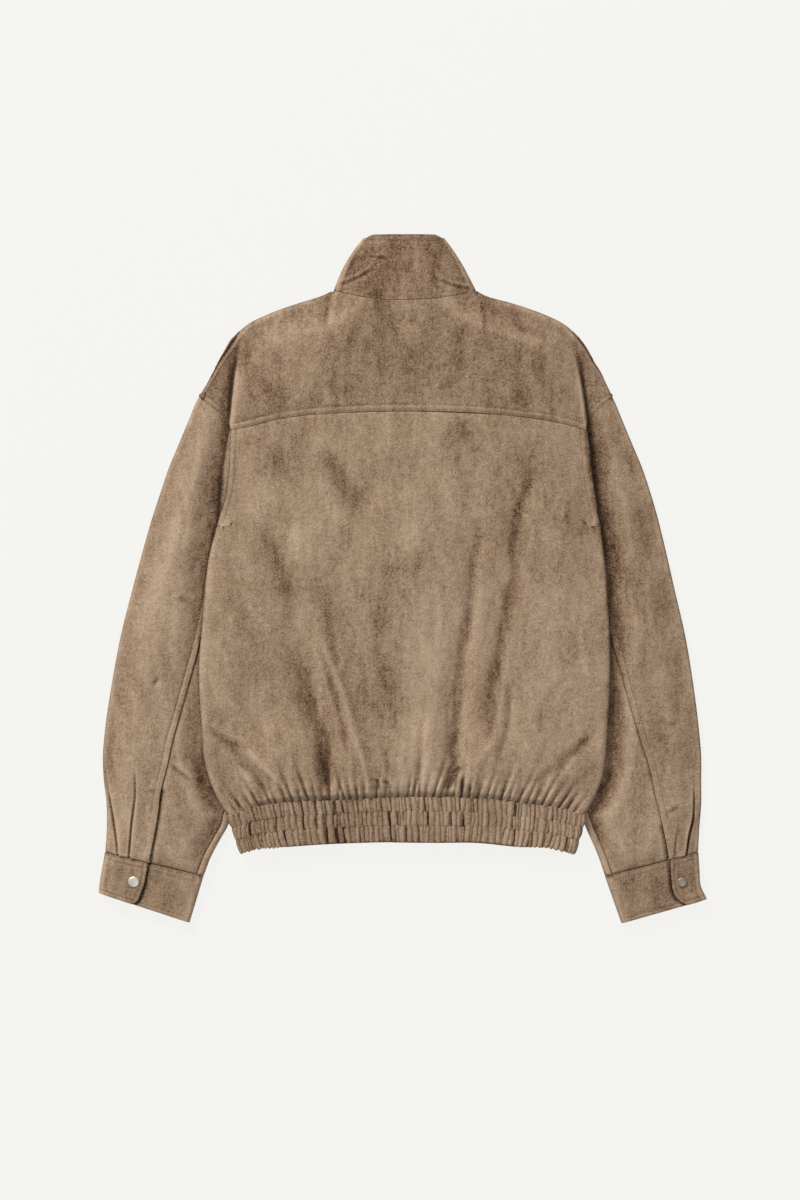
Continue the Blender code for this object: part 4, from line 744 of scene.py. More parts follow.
def back_relief(x, y):
    """Height that the creases, pleats and soft unevenness take from or give to the back."""
    inside = either(EDGE, x, y) - np.abs(x)
    above = y - along(HEM, x)
    broad = creases([row for row in BACK_CREASES if row[0] > BROAD], x, y)
    narrow = creases([row for row in BACK_CREASES if row[0] <= BROAD], x, y)
    total = -hem_pleats(x, y) - SOFTENED * broad - narrow
    total += 0.55 * ripple(x, y, 95.0, 190.0, 3) + 0.22 * ripple(x, y, 34.0, 60.0, 4, 14)
    return total * smooth((inside - 1.0) / 12.0) * (0.35 + 0.65 * smooth((above + 1.0) / 8.0))


print("creases:", len(BACK_CREASES), "and", len(HEM_PLEATS), "small pleats at the hem")

# %% [markdown]
# ## Sewing the sleeves
# The topstitched seam shows as a raised welt: the seam allowance lies under the outer sleeve and
# lifts it for about 6 mm, and a row of stitches holds it down. Two pleats take the sleeve's
# fullness into the cuff. A pleat is a sawtooth: it climbs slowly and drops off sharply at its fold.

# %% Relief of the sleeves
# Side, width of the slow side, height, line of the fold from the top down to the cuff
SLEEVE_PLEATS = (
    (-1, 12.0, 2.6, ((-352, -205), (-347, -244), (-341, -276), (-337, -302), (-334, -326))),
    (-1, 13.0, 2.8, ((-313, -200), (-314, -228), (-314, -257), (-318, -289), (-321, -326))),
    (1, -12.0, 2.8, ((337, -222), (338, -250), (337, -280), (332, -302), (328, -328))),
    (1, -9.0, 0.7, ((319, -268), (319, -290), (316, -310), (314, -330))))
CUFF_SEAM = ((235.6, -349.3), (351.2, -321.3))
WELT_HEIGHT = {-1: 1.0, 1: 0.45}
VENT_TOP = {-1: -243.0, 1: -285.0}
# Side, half width, depth, lip, start, end, points
SLEEVE_CREASES = (
    (-1, 1.8, 1.3, 0.3, 0.1, 0.1, ((-298, -250), (-291, -248), (-286, -241))),
    (-1, 2.6, 1.3, 0.4, 0.3, 0.3, ((-278, -217), (-266, -225), (-255, -234), (-247, -240))),
    (-1, 3.0, 1.1, 0.3, 0.3, 0.3, ((-286, -114), (-295, -128))),
    (-1, 5.0, 1.1, 0.3, 0.3, 0.3, ((-261, -20), (-258, -32))),
    (-1, 9.0, 1.2, 0.2, 0.4, 0.4, ((-318, -100), (-300, -150), (-296, -200))),
    (-1, 10.0, -1.2, 0.0, 0.4, 0.4, ((-290, -60), (-300, -110), (-306, -170))),
    (-1, 7.0, 1.0, 0.0, 0.4, 0.4, ((-330, -130), (-322, -175), (-326, -215))),
    (-1, 9.0, 1.0, 0.0, 0.4, 0.4, ((-268, 110), (-280, 50), (-292, 0))),
    (-1, 5.0, 0.4, 0.2, 0.3, 0.3, ((-224, -215), (-232, -232), (-246, -246))),
    (1, 2.4, 1.2, 0.4, 0.3, 0.3, ((300, -279), (311, -273), (324, -266))),
    (1, 9.0, 1.2, 0.0, 0.4, 0.4, ((262, 120), (280, 60), (294, -10))),
    (1, 10.0, -1.1, 0.0, 0.4, 0.4, ((266, -30), (283, -90), (300, -150))),
    (1, 8.0, 1.2, 0.2, 0.4, 0.4, ((318, -60), (322, -120), (318, -180))),
    (1, 4.0, 1.0, 0.3, 0.3, 0.3, ((296, -162), (306, -170), (322, -172))),
    (1, 4.5, 0.4, 0.2, 0.3, 0.3, ((214, -200), (226, -222), (236, -232))))


def above_cuff(x, y):
    """Height above the cuff seam, a straight line between the two ends in CUFF_SEAM."""
    (x_in, y_in), (x_out, y_out) = CUFF_SEAM
    return y - y_in - (np.abs(x) - x_in) * (y_out - y_in) / (x_out - x_in)


def ease_to_cuff(grid, level):
    """Brings the cloth down to the cuff's level over the last 25 mm above the cuff seam."""
    x, y, z = grid[..., 0], grid[..., 1], grid[..., 2]
    above = np.maximum(above_cuff(x, y), 0.0)
    share = np.exp(-(above / 15.0) ** 1.4) * smooth((outline_distance(x, y) - 4.0) / 14.0)
    return (level - z) * share * (z > 8.0)


def cuff_fade(x, y):
    """Weight of the painted shade in hollows: 0.45 at the cuff seam, where sewing flattens them, to
    1.
    """
    return 0.45 + 0.55 * smooth((above_cuff(x, y) - 2.3) / 8.0)


def welt_relief(side, distance, y):
    """Raised seam allowance beside a seam, with a groove where its stitches hold it down."""
    raised = smooth(distance / 0.9) * (1.0 - smooth((distance - 6.0) / 2.0))
    groove = np.exp(-((distance - 7.4) / 0.9) ** 2) * smooth((y - VENT_TOP[side]) / 4.0)
    return WELT_HEIGHT[side] * (raised - 0.8 * groove)


def pleat_relief(side, x, y):
    """Sawtooth beside each pleat's fold, growing from nothing to its height at the cuff."""
    total = np.zeros(np.shape(x))
    for on, width, height, points in SLEEVE_PLEATS:
        if on == side:
            signed, share = nearest(x, y, points)
            signed = signed * np.sign(width)
            slope = np.clip(1.0 - signed / abs(width), 0.0, 1.0) ** 1.4
            grow = smooth(share / 0.75) * smooth((1.03 - share) / 0.05 + 0.4)
            total += height * grow * slope * smooth((signed + 0.5) / 1.2)
            total -= 1.1 * height * grow * np.exp(-((signed + 1.5) / 1.3) ** 2)
    return total


def sleeve_relief(side, x, y):
    """Creases and soft unevenness of a sleeve."""
    total = 0.5 * ripple(x, y, 80.0, 150.0, 6) + 0.22 * ripple(x, y, 30.0, 48.0, 7, 14)
    return total - creases([row[1:] for row in SLEEVE_CREASES if row[0] == side], x, y)


print("sleeve pleats:", len(SLEEVE_PLEATS))

# %% [markdown]
# ## Outer sleeves
# The outer sleeve is the wide piece and carries the welt, the pleats and most creases. Its rows
# run from the back seam over the outer fold and along the table to the inner fold, so relief is
# added only to the columns on top. Its head is pushed under the yoke that is sewn over it.

# %% Outer sleeves
OUTER_ROWS = 236
TUCKED_IN, FLATTENED = 1.2, 0.16
UPPER_COLUMNS, WELT_COLUMNS, LOWER_COLUMNS = 78, 40, 84
# How much lighter the colour of each sleeve is made
SLEEVE_TONE = {-1: 0.40, 1: 0.08}
rows_kept = {}


def outer_sleeve(side, word):
    """Grid of the outer sleeve: rows from armhole to cuff, relief added to its upper side only."""
    rows, distances = [], []
    for t in even_rows(side, 0.0, LAST_ROW, OUTER_ROWS):
        line, distance = outer_line(side, t)
        if t < 1.0:
            push = line[0, :2] - line[30, :2]
            push = np.array((push[1], -push[0])) / np.linalg.norm(push)
            line[:, :2] += push * np.sign(push[1]) * TUCKED_IN * (1.0 - t)
            middle = line[:, 2].mean()
            line[:, 2] = middle + (line[:, 2] - middle) * (1.0 - FLATTENED * (1.0 - t))
        line[:, 1] += SEAM * max(0.0, t - LAST_ROW + 1.0)
        rows.append(line)
        distances.append(distance)
    grid, distance = np.array(rows), np.array(distances)
    x, y = grid[..., 0], grid[..., 1]
    column = np.arange(grid.shape[1])
    bend = outline_distance(x, y)
    upper = smooth((grid[..., 2] - fold_height(y) * 0.7) / 2.0) * smooth((bend - 1.0) / 10.0)
    upper = upper * (column < UPPER_COLUMNS)
    relief = sleeve_relief(side, x, y) * upper * smooth(distance / 14.0)
    pleats = pleat_relief(side, x, y) * (column < UPPER_COLUMNS - 2) * smooth(bend / 3.0)
    top = smooth((y + 326.0) / 6.0)
    sewn = welt_relief(side, distance, y) * smooth((150.0 - y) / 60.0) * (column < WELT_COLUMNS)
    grid[..., 2] += ease_to_cuff(grid, CUFF_TOP + BAND) + relief * top + pleats + sewn
    rows_kept["sleeve_outer_" + word] = grid
    # Painted shade: darker in hollows and lighter on ridges, a painted shadow beside the body and a
    # darker strip past the inner fold; SLEEVE_TONE lifts the whole sleeve
    shade = hollows(grid) * cuff_fade(x, y) - 0.9 * painted_shadow_beside_body(x, y) * (grid[..., 2] > 5.0)
    shade = shade + SLEEVE_TONE[side] - 0.55 * (column > LOWER_COLUMNS)
    return wall("outer_sleeve_" + word, grid, CLOTH, side, {"relief": shade})


for sleeve_side, word in ((-1, "left"), (1, "right")):
    piece = outer_sleeve(sleeve_side, word)
    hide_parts("sleeve_outer_" + word)
    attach(piece, "root")

# %% [markdown]
# ## Under sleeves
# The under sleeve is the narrow piece between the back seam and the underarm seam. Both seams
# pull it into a shallow valley, deepest beside the vent above the cuff, where the welt is open.

# %% Under sleeves
UNDER_ROWS = 210


def under_sleeve(side, word):
    """Grid of the under sleeve: on each row, points from the back seam to the underarm seam."""
    rows, distances = [], []
    for t in even_rows(side, 2.0, LAST_ROW, UNDER_ROWS):
        outer, inner = row_line(side, t)
        width = np.linalg.norm(inner - outer)
        edge = np.interp(t, (FIRST_WHOLE - 1.0, FIRST_WHOLE), (0.0, UNDERARM + 1.6 * SEAM))
        seam = crossing(side, t, BACK_SEAM) + SEAM / 2.0
        share = np.linspace(0.0, 1.0, 40)
        spots = seam + (width - edge - seam) * share ** 1.15
        flat = row_points(side, t, spots)
        line = np.column_stack((side * flat[:, 0], flat[:, 1],
                                sleeve_top(side * flat[:, 0], flat[:, 1])))
        line[:, 1] += SEAM * max(0.0, t - LAST_ROW + 1.0)
        rows.append(line)
        distances.append(np.stack((spots - seam, width - edge - spots), 1))
    grid, distance = np.array(rows), np.array(distances)
    x, y = grid[..., 0], grid[..., 1]
    fade = smooth(distance[..., 0] / 9.0) * smooth(distance[..., 1] / 9.0)
    relief = sleeve_relief(side, x, y) * fade * smooth((y + 345.0) / 8.0)
    vent = smooth((VENT_TOP[side] - y) / 8.0)
    valley = -(0.9 + 1.9 * vent) * np.exp(-(distance[..., 0] / (2.2 + 1.6 * vent)) ** 2)
    valley = valley * smooth((150.0 - y) / 60.0)
    seam_line = -0.7 * np.exp(-(distance[..., 1] / 1.4) ** 2)
    grid[..., 2] += ease_to_cuff(grid, CUFF_TOP + 0.3) + relief + valley + seam_line
    # Painted shade in hollows and highlight on ridges, and a painted shadow beside the body
    shade = hollows(grid) * cuff_fade(x, y) - 0.9 * painted_shadow_beside_body(x, y) + 0.5 * SLEEVE_TONE[side]
    return wall("under_sleeve_" + word, grid, CLOTH, -side, {"relief": shade})


for sleeve_side, word in ((-1, "left"), (1, "right")):
    piece = under_sleeve(sleeve_side, word)
    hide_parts("sleeve_under_" + word)
    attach(piece, "root")

# %% [markdown]
# ## The back of the sleeve head
# Where the body's side folds over the sleeve, a narrow part of the sleeve is carried round the
# fold with it: it starts at the armhole seam on top, goes round the folded edge and ends in the
# valley underneath. Its section is half a circle, so it is drawn as one.

# %% Sleeve heads
HEAD_ROWS, HEAD_COLUMNS = np.linspace(173.2, 57.4, 66), 26


def armhole_seam(side, y):
    """Back armhole seam: distance from the centre line."""
    return across(BACK_ARMHOLE, side, np.clip(y, 61.0, 173.0))


def head_path(side, y):
    """Section of the folded edge at y: along the top, a half circle, back to the valley."""
    edge = float(across(EDGE, side, y))
    radius = (EDGE_TOP - OVER_SLEEVE) / 2.0
    turn = np.linspace(np.pi / 2.0, -np.pi / 2.0, 41)
    seam = float(armhole_seam(side, y))
    centre = edge - radius
    x = np.concatenate(((min(seam, centre) - 0.5,), centre + radius * np.cos(turn),
                        (float(across(INNER, side, y)) + 0.5,)))
    z = np.concatenate(((0.0,), radius * np.sin(turn), (-radius,))) + OVER_SLEEVE + radius
    z[0] = EDGE_TOP
    path = np.column_stack((side * x, np.full(len(x), y), z))
    reach = measure(path)
    return path, np.interp(seam, x[:22], reach[:22]) + 3.0 * SEAM, reach[-1]


def sleeve_head(side, word):
    """Grid of the sleeve head: rows down the armhole, from the seam round to the valley."""
    rows, across_row = [], np.linspace(0.0, 1.0, HEAD_COLUMNS)
    for y in HEAD_ROWS:
        path, start, end = head_path(side, float(y))
        rows.append(sample(path, start + (end - start) * across_row))
    grid = np.array(rows)
    x, y = grid[..., 0], grid[..., 1]
    tucked = 0.9 * smooth((y - 168.5) / 3.0) + 0.2 * smooth((62.5 - y) / 2.0)
    grid[..., 2] += 0.25 * ripple(x, y, 30.0, 22.0, 11) - tucked
    grid[..., 0] -= side * 2.6 * smooth((y - 135.0) / 38.0) * smooth(across_row / 0.3)
    # Painted shade: a painted shadow beside the body and a dark band along the folded edge, where
    # the cloth turns down away from the light
    shade = -0.9 * painted_shadow_beside_body(x, y) * (grid[..., 2] < 14.0)
    turned = np.exp(-((np.abs(x) - across(EDGE, side, y)) / 3.0) ** 2)
    shade = shade - 2.0 * turned * smooth((y - 60.0) / 14.0)
    return wall("sleeve_head_cloth_" + word, grid, CLOTH, side, {"relief": shade})


for sleeve_side, word in ((-1, "left"), (1, "right")):
    piece = sleeve_head(sleeve_side, word)
    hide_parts("sleeve_head_" + word)
    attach(piece, "root")

# %% [markdown]
# ## Yoke
# The yoke is one piece over both shoulders. Its columns run from the top edge, which is the neck
# seam in the middle and the folded shoulder on both sides, down to the yoke seam and the armhole
# seams. Near the body's folded side several columns stand close together, because there the cloth
# drops from the body's level to the sleeve's within a few millimetres. The seam at the foot is
# sewn twice, so it has a groove at its edge and one 7 mm above it.

# %% Yoke
NECK_CORNER = 336.8
TWICE_SEWN = np.array((0.0, 0.5, 1.0, 1.5, 2.2, 3.4, 5.0, 6.2, 6.9, 7.6, 8.3, 9.4, 11.5))
YOKE_CREASES = (
    (9.0, 0.9, 0.0, 0.4, 0.4, ((-98, 236), (-84, 222), (-60, 214))),
    (12.0, 0.9, 0.0, 0.4, 0.4, ((-40, 310), (-10, 302), (30, 306))),
    (8.0, 0.8, 0.0, 0.4, 0.4, ((60, 300), (66, 262), (64, 222))),
    (9.0, 0.8, 0.0, 0.4, 0.4, ((150, 268), (160, 236), (158, 204))),
    (7.0, 0.8, 0.0, 0.4, 0.4, ((-168, 282), (-150, 262), (-146, 236))),
    (6.0, 0.9, 0.2, 0.3, 0.3, ((118, 300), (140, 290), (166, 284))))


def yoke_columns():
    """Key columns from the left armhole to the right one.

    Each holds the top point, the point on the seam below it, the share of the body crease's curve
    that it follows, and how much of it is wrapped under the shoulder fold.
    """
    halves = []
    for side, seam_end in ((-1, YOKE[0]), (1, YOKE[-1])):
        corner = np.array((float(across(OUTLINE, side, 212.5)), 212.5))
        valley = np.array((float(across(INNER, side, 186.0)), 186.0))
        unit = (valley - corner) / np.linalg.norm(valley - corner)
        lift = np.array((unit[1], -unit[0]))
        lift *= np.sign(lift[1]) * 2.4 * SEAM
        foot = np.array((abs(seam_end[0]), seam_end[1]))
        half = []
        for share in (0.0, 0.09, 0.27, 0.5, 0.75):
            low = corner + (0.1 + 0.9 * share) * (valley - corner) + lift
            half.append((213.6 + 77.4 * share, low, share ** 2, 1.0))
        for k, y in enumerate((294.0, 296.2, 298.0, 300.0)):
            low = valley + lift + k / 3.0 * (foot + np.array((0.0, SEAM)) - valley - lift)
            half.append((y, low, 1.0, 1.0))
        for share in (0.2, 0.4, 0.6, 0.8, 1.0):
            x = foot[0] + (118.0 - foot[0]) * share
            low = np.array((x, float(along(YOKE, side * x)) + SEAM))
            half.append((300.0 + (NECK_CORNER - 300.0) * share, low, (1.0 - share) ** 3,
                         1.0 if share < 0.7 else (1.0 - share) / 0.4))
        halves.append(half)
    return halves


def blend_columns(half, side):
    """Many columns between the key ones, no further apart than about 2.4 mm."""
    result = []
    for a, b in zip(half[:-1], half[1:]):
        top_a, top_b = (np.array((float(across(OUTLINE, side, k[0])), k[0])) for k in (a, b))
        widest = max(np.linalg.norm(top_b - top_a), np.linalg.norm(b[1] - a[1]))
        count = max(2, int(np.ceil(widest / 2.4)))
        for share in np.arange(count) / count:
            y = a[0] + (b[0] - a[0]) * share
            low = a[1] + (b[1] - a[1]) * share
            result.append((np.array((float(across(OUTLINE, side, y)), y)), low,
                           a[2] + (b[2] - a[2]) * share, a[3] + (b[3] - a[3]) * share))
    return result


print("seam points of the yoke:", len(yoke_columns()[0]))

# %% One column of the yoke
def yoke_column(top, low, side, curve, wrap):
    """One column: under the shoulder fold where wrap says so, over it and down to the seam."""
    share = np.linspace(0.0, 1.0, 200) ** 1.4
    x = top[0] + (low[0] - top[0]) * share
    y = top[1] + (low[1] - top[1]) * share
    if curve > 0.0:
        ends = across(EDGE, side, np.array((186.0, 292.5)))
        bulge = (across(EDGE, side, y) - np.interp(y, (186.0, 292.5), ends))
        x = x + bulge * (y < 292.5) * (y > 186.0) * curve
    z = yoke_top(side * x, y)
    if wrap is None:
        path = np.column_stack((side * x, y, z))
        reach = measure(path)
        head = np.linspace(0.0, 16.0, 14)
    else:
        away = outline_distance(side * x, y)
        radius = float(fold_height(top[1])) / 2.0
        near = half_round(away, radius)
        z = np.where(away < radius, radius + near, z)
        below = away < radius + 0.6
        under = np.column_stack((side * x, y, radius - near))[below][::-1]
        path = np.concatenate((under[:-1], np.column_stack((side * x, y, z))))
        reach = measure(path)
        start = measure(under)[-1]
        head = np.linspace(start * (1.0 - wrap), 2.0 * start, 14)
    total = reach[-1]
    tail = TWICE_SEWN * min(1.0, 0.35 * total / TWICE_SEWN[-1])
    middle = np.linspace(head[-1], total - tail[-1], 62)[1:-1]
    stations = np.concatenate((head, middle, total - tail[::-1]))
    return sample(path, stations), total - stations


# %% The yoke
def back_yoke():
    """Grid of the yoke with its stitching grooves and a little unevenness."""
    left, right = yoke_columns()
    columns = [yoke_column(top, low, -1, curve, wrap)
               for top, low, curve, wrap in blend_columns(left, -1)]
    for share in np.linspace(-0.98, 0.98, 69):
        x = abs(share)
        top = np.array((81.5 * x, float(along(NECK, 81.5 * share)) - SEAM))
        low = np.array((115.0 * x, float(along(YOKE, 115.0 * share)) + SEAM))
        columns.append(yoke_column(top, low, -1 if share < 0 else 1, 0.0, None))
    columns += [yoke_column(top, low, 1, curve, wrap)
                for top, low, curve, wrap in blend_columns(right, 1)][::-1]
    grid = np.array([points for points, _ in columns])
    below = np.array([distance for _, distance in columns])
    x, y = grid[..., 0], grid[..., 1]
    upper = smooth((grid[..., 2] - 9.0) / 2.0) * smooth((np.arange(grid.shape[1]) - 8.0) / 12.0)
    relief = 0.45 * ripple(x, y, 120.0, 80.0, 21) + 0.22 * ripple(x, y, 36.0, 40.0, 22, 14)
    relief = relief - creases(YOKE_CREASES, x, y)
    relief = relief * upper * smooth((below - 8.0) / 10.0) * smooth(outline_distance(x, y) / 9.0)
    sewn = 0.5 * smooth(below / 0.8) * (1.0 - smooth((below - 6.4) / 2.4))
    sewn = sewn - 0.5 * np.exp(-((below - 1.5) / 0.8) ** 2)
    sewn = sewn - 0.6 * np.exp(-((below - 7.6) / 0.9) ** 2)
    grid[..., 2] += relief + sewn * smooth((grid[..., 2] - 6.0) / 3.0)
    rows_kept["back_yoke"] = grid
    # Painted shade and highlight from the hollows, weaker near the neck corners; the whole yoke
    # painted 0.15 darker to even out the light from beyond the collar; a painted shadow beside the
    # body
    corner = smooth((np.hypot(np.abs(x) - 83.0, y - 337.0) - 6.0) / 34.0)
    shade = hollows(grid) * (0.25 + 0.75 * corner) - 0.15
    shade = shade - 0.6 * painted_shadow_beside_body(x, y) * (np.abs(x) > either(EDGE, x, y))
    return wall("yoke", grid, CLOTH, -1, {"relief": shade})


yoke = back_yoke()
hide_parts("back_yoke")
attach(yoke, "root")

# %% [markdown]
# ## Back panel
# The back is the largest piece. Its rows run from side to side: below the armhole each row wraps
# the folded edge and ends at the side seam underneath, above it each row ends at the armhole seam
# on the fold. Rows stand closer together at the yoke seam and in the last 30 mm above the hem,
# where the gathers are sharp. The edge beside the armhole is topstitched 6.5 mm in.

# %% Back panel
SIDE_TURN = 25
BACK_LENGTH, HEM_ROWS = 449.5, 410.0
BACK_EDGE = np.array((0.0, 0.5, 1.3, 2.6, 4.0, 5.2, 6.0, 6.7, 7.4, 8.2, 9.4, 11.0, 13.0, 15.0,
                      17.5))
ARMHOLE_BASE = 60.0


def side_seam(side, y):
    """Side seam under the folded edge of the body: distance from the centre line."""
    top = edge_top(y)
    return across(EDGE, side, y) - (top - OVER_SLEEVE) / 2.0 - 1.5


def back_side(share):
    """Height y of the side end of a row of the back: from the yoke seam down to the hem."""
    top = YOKE[0][1] - SEAM
    return top + (HEM[0][1] + SEAM - top) * share


# %% One row of the back
def back_row(share, columns):
    """One row of the back: seam or side end, round the fold, over the top and round again.

    Returns the points and each point's distance along the row from the nearer end.
    """
    y_side = back_side(share)
    halves, ends = [], []
    top = float(edge_top(y_side))
    radius = (top - OVER_SLEEVE) / 2.0
    turn = np.linspace(0.0, np.pi, SIDE_TURN)
    for side in (-1, 1):
        edge = float(across(EDGE, side, y_side))
        x = np.append(edge - radius + radius * np.sin(turn), float(side_seam(side, y_side)))
        z = np.append(OVER_SLEEVE + radius + radius * np.cos(turn), OVER_SLEEVE)
        halves.append((side * x, z))
        ends.append(edge - radius)
    middle = np.linspace(-ends[0], ends[1], 700)[1:-1]
    x = np.concatenate((halves[0][0][::-1], middle, halves[1][0]))
    hem_share = x * np.where(x < 0.0, -HEM[0][0], HEM[-1][0]) / either(EDGE, x, y_side)
    yoke_y, hem_y = along(YOKE, x) - SEAM, along(HEM, hem_share) + SEAM
    y = yoke_y + (hem_y - yoke_y) * share
    on_top = slice(SIDE_TURN + 1, -SIDE_TURN - 1)
    z = np.concatenate((halves[0][1][::-1], back_top(middle, y[on_top]), halves[1][1]))
    path = np.column_stack((x, y, z))
    reach = measure(path)
    begin, finish = 0.0, reach[-1]
    if y_side > ARMHOLE_BASE:
        half = SIDE_TURN // 2 + 1
        left, right = slice(half, len(x) // 2), slice(len(x) // 2, -half)
        begin = np.interp(-armhole_seam(-1, y_side), x[left], reach[left])
        finish = np.interp(armhole_seam(1, y_side), x[right], reach[right])
    middle = np.linspace(begin + BACK_EDGE[-1], finish - BACK_EDGE[-1], columns + 2)[1:-1]
    stations = np.concatenate((begin + BACK_EDGE, middle, finish - BACK_EDGE[::-1]))
    nearer = np.minimum(middle - begin, finish - middle)
    return sample(path, stations), np.concatenate((BACK_EDGE, nearer, BACK_EDGE[::-1]))


print("points of a row:", len(back_row(0.5, 296)[0]))

# %% The back
def back_panel(columns=296):
    """Grid of the back with its creases, pleats, gathers and the sewn edges."""
    down = np.concatenate(((0.0, 0.5, 1.2, 2.2, 3.6), np.linspace(5.5, HEM_ROWS, 106),
                           np.linspace(HEM_ROWS, BACK_LENGTH, 31)[1:])) / BACK_LENGTH
    base = (ARMHOLE_BASE - back_side(0.0)) / (back_side(1.0) - back_side(0.0))
    below = int(np.searchsorted(down, base))
    down[below - 1:below + 1] = base - 0.0003, base + 0.0003
    rows = [back_row(share, columns) for share in down]
    grid = np.array([row[0] for row in rows])
    inset = np.array([row[1] for row in rows])
    x, y = grid[..., 0], grid[..., 1]
    up = smooth((grid[..., 2] - 11.5) / 3.0)
    relief = back_relief(x, y) * up
    sewn = (0.35 * np.exp(-((inset - 3.4) / 2.0) ** 2)
            - 0.55 * np.exp(-((inset - 6.6) / 0.8) ** 2))
    sewn = sewn * smooth((y - ARMHOLE_BASE - 1.0) / 9.0) * up
    seam = 0.5 * smooth((down * BACK_LENGTH)[:, None] / 1.8) - 0.5
    above = np.maximum(y - along(HEM, x), 0.0)
    inside = either(EDGE, x, y) - np.abs(x)
    puff = HEM_PUFF * smooth((inside - 4.0) / 60.0) + BODY_SWELL * smooth(inside / 90.0)
    roll = puff * (smooth(above / 8.0) - smooth((above - 1.0) / 17.0))
    full = 1.0 - np.clip(hem_pleats(x, y) / 2.0, 0.0, 1.0)
    over = full * np.exp(-above / 5.0) * smooth((inside - 2.0) / 8.0)
    grid[..., 2] += relief + sewn + seam * up + (0.75 * roll + 1.6 * over) * up
    grid[..., 1] -= (2.2 + 0.9 * ripple(x, y, 60.0, 900.0, 9)) * over
    rows_kept["back_panel"] = grid
    # Painted shade: hollows, weaker near the hem, darker and lighter bands along the folds, a
    # darker band along both folded sides, much more on the right, none at the armhole's notch, and
    # the whole back painted 0.24 lighter
    plain = np.exp(-((y - 61.0) / 4.0) ** 2 - (inside / 8.0) ** 2)
    weight = 1.0 - 0.65 * np.exp(-(above / 6.0) ** 2) - 0.25 * smooth((above - 25.0) / 40.0)
    shade = hollows(grid, 22, 1.6) * weight - shade_and_nap_bands(x, y)
    turned = np.where(x < 0.0, 0.35 * np.exp(-(inside / 4.0) ** 2),
                      1.0 * np.exp(-(np.maximum(inside, 0.0) / 7.0) ** 2))
    shade = np.maximum(shade, -0.95 - 0.5 * np.exp(-(above / 12.0) ** 2))
    shade = 0.24 + shade * (1.0 - plain) - turned
    return wall("back", grid, CLOTH, 1, {"relief": shade}, cut=below)


back = back_panel()
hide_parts("back_panel")
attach(back, "root")

# %% [markdown]
# ## Collar
# The stand collar is a doubled band sewn round the neck and pressed flat: its front half lies on
# the table, its back half on top, and at the centre front one end laps over the other. Flattened,
# it is one closed ring, so each row of the grid goes once round it. The free edge is topstitched
# 7 mm in, and the back half keeps three soft creases from being turned down.

# %% Rings and the collar
def ring_path(left, right, radius, base, top_z, lift, turned=11, across_count=300):
    """Flattened ring from the front lap, under the left half, over the back and to the lap.

    left and right are the outermost distances; returns x, z and the place of each point,
    0 for the front half and 1 for the back half, and the running marks of the four parts.
    """
    floor_left = np.linspace(-LAP, left - radius, 60)
    floor_right = np.linspace(right - radius, -LAP, 60)
    turn = np.linspace(0.0, np.pi, turned + 2)[1:-1]
    middle = np.linspace(-(left - radius), right - radius, across_count)
    x = np.concatenate((-floor_left, -(left - radius + radius * np.sin(turn)), middle,
                        right - radius + radius * np.sin(turn), floor_right))
    z_left = base * smooth((floor_left - (left - radius - 16.0)) / 14.0)
    z_right = base * smooth((floor_right - (right - radius - 16.0)) / 14.0)
    over = lift + BAND + SEAM
    z = np.concatenate((z_left + lift * smooth((26.0 - floor_left) / 10.0),
                        base + radius * (1.0 - np.cos(turn)), top_z(middle),
                        base + radius * (1.0 + np.cos(turn)),
                        z_right + over * smooth((30.0 - floor_right) / 16.0)))
    back = np.concatenate((np.zeros(60), turn > np.pi / 2.0, np.ones(across_count),
                           turn < np.pi / 2.0, np.zeros(60))).astype(float)
    return x, z, back, np.array((0, 59, 60 + turned, 59 + turned + across_count,
                                 60 + 2 * turned + across_count, len(x) - 1))


def front_neck(x):
    """Front neckline: y at distance x from the centre line."""
    return 272.0 + 64.0 * (np.abs(x) / 83.0) ** 2.6


print("front neck seam at the centre: y =", round(float(front_neck(0.0)), 1))

# %% The collar
COLLAR_ROWS, COLLAR_FRONT, COLLAR_COLUMNS = 44, 49, 150
# Share of the collar's height at which its free edge is topstitched, and that row's number
COLLAR_STITCH, COLLAR_STITCH_ROW = 0.912, COLLAR_ROWS + 5
COLLAR_CREASES = (
    (1.9, 1.0, 0.6, 0.10, 0.3, ((-84, 342), (-65, 347), (-46, 356), (-30, 368))),
    (1.9, 0.9, 0.3, 0.3, 0.5, ((-46, 376), (-28, 375), (-8, 373))),
    (1.9, 0.9, 0.6, 0.3, 0.10, ((32, 353), (54, 343), (80, 338))),
    (6.0, 0.7, 0.0, 0.4, 0.4, ((-6, 352), (6, 364), (10, 384))),
    (5.0, 0.6, 0.0, 0.4, 0.4, ((30, 386), (38, 372), (40, 356))))


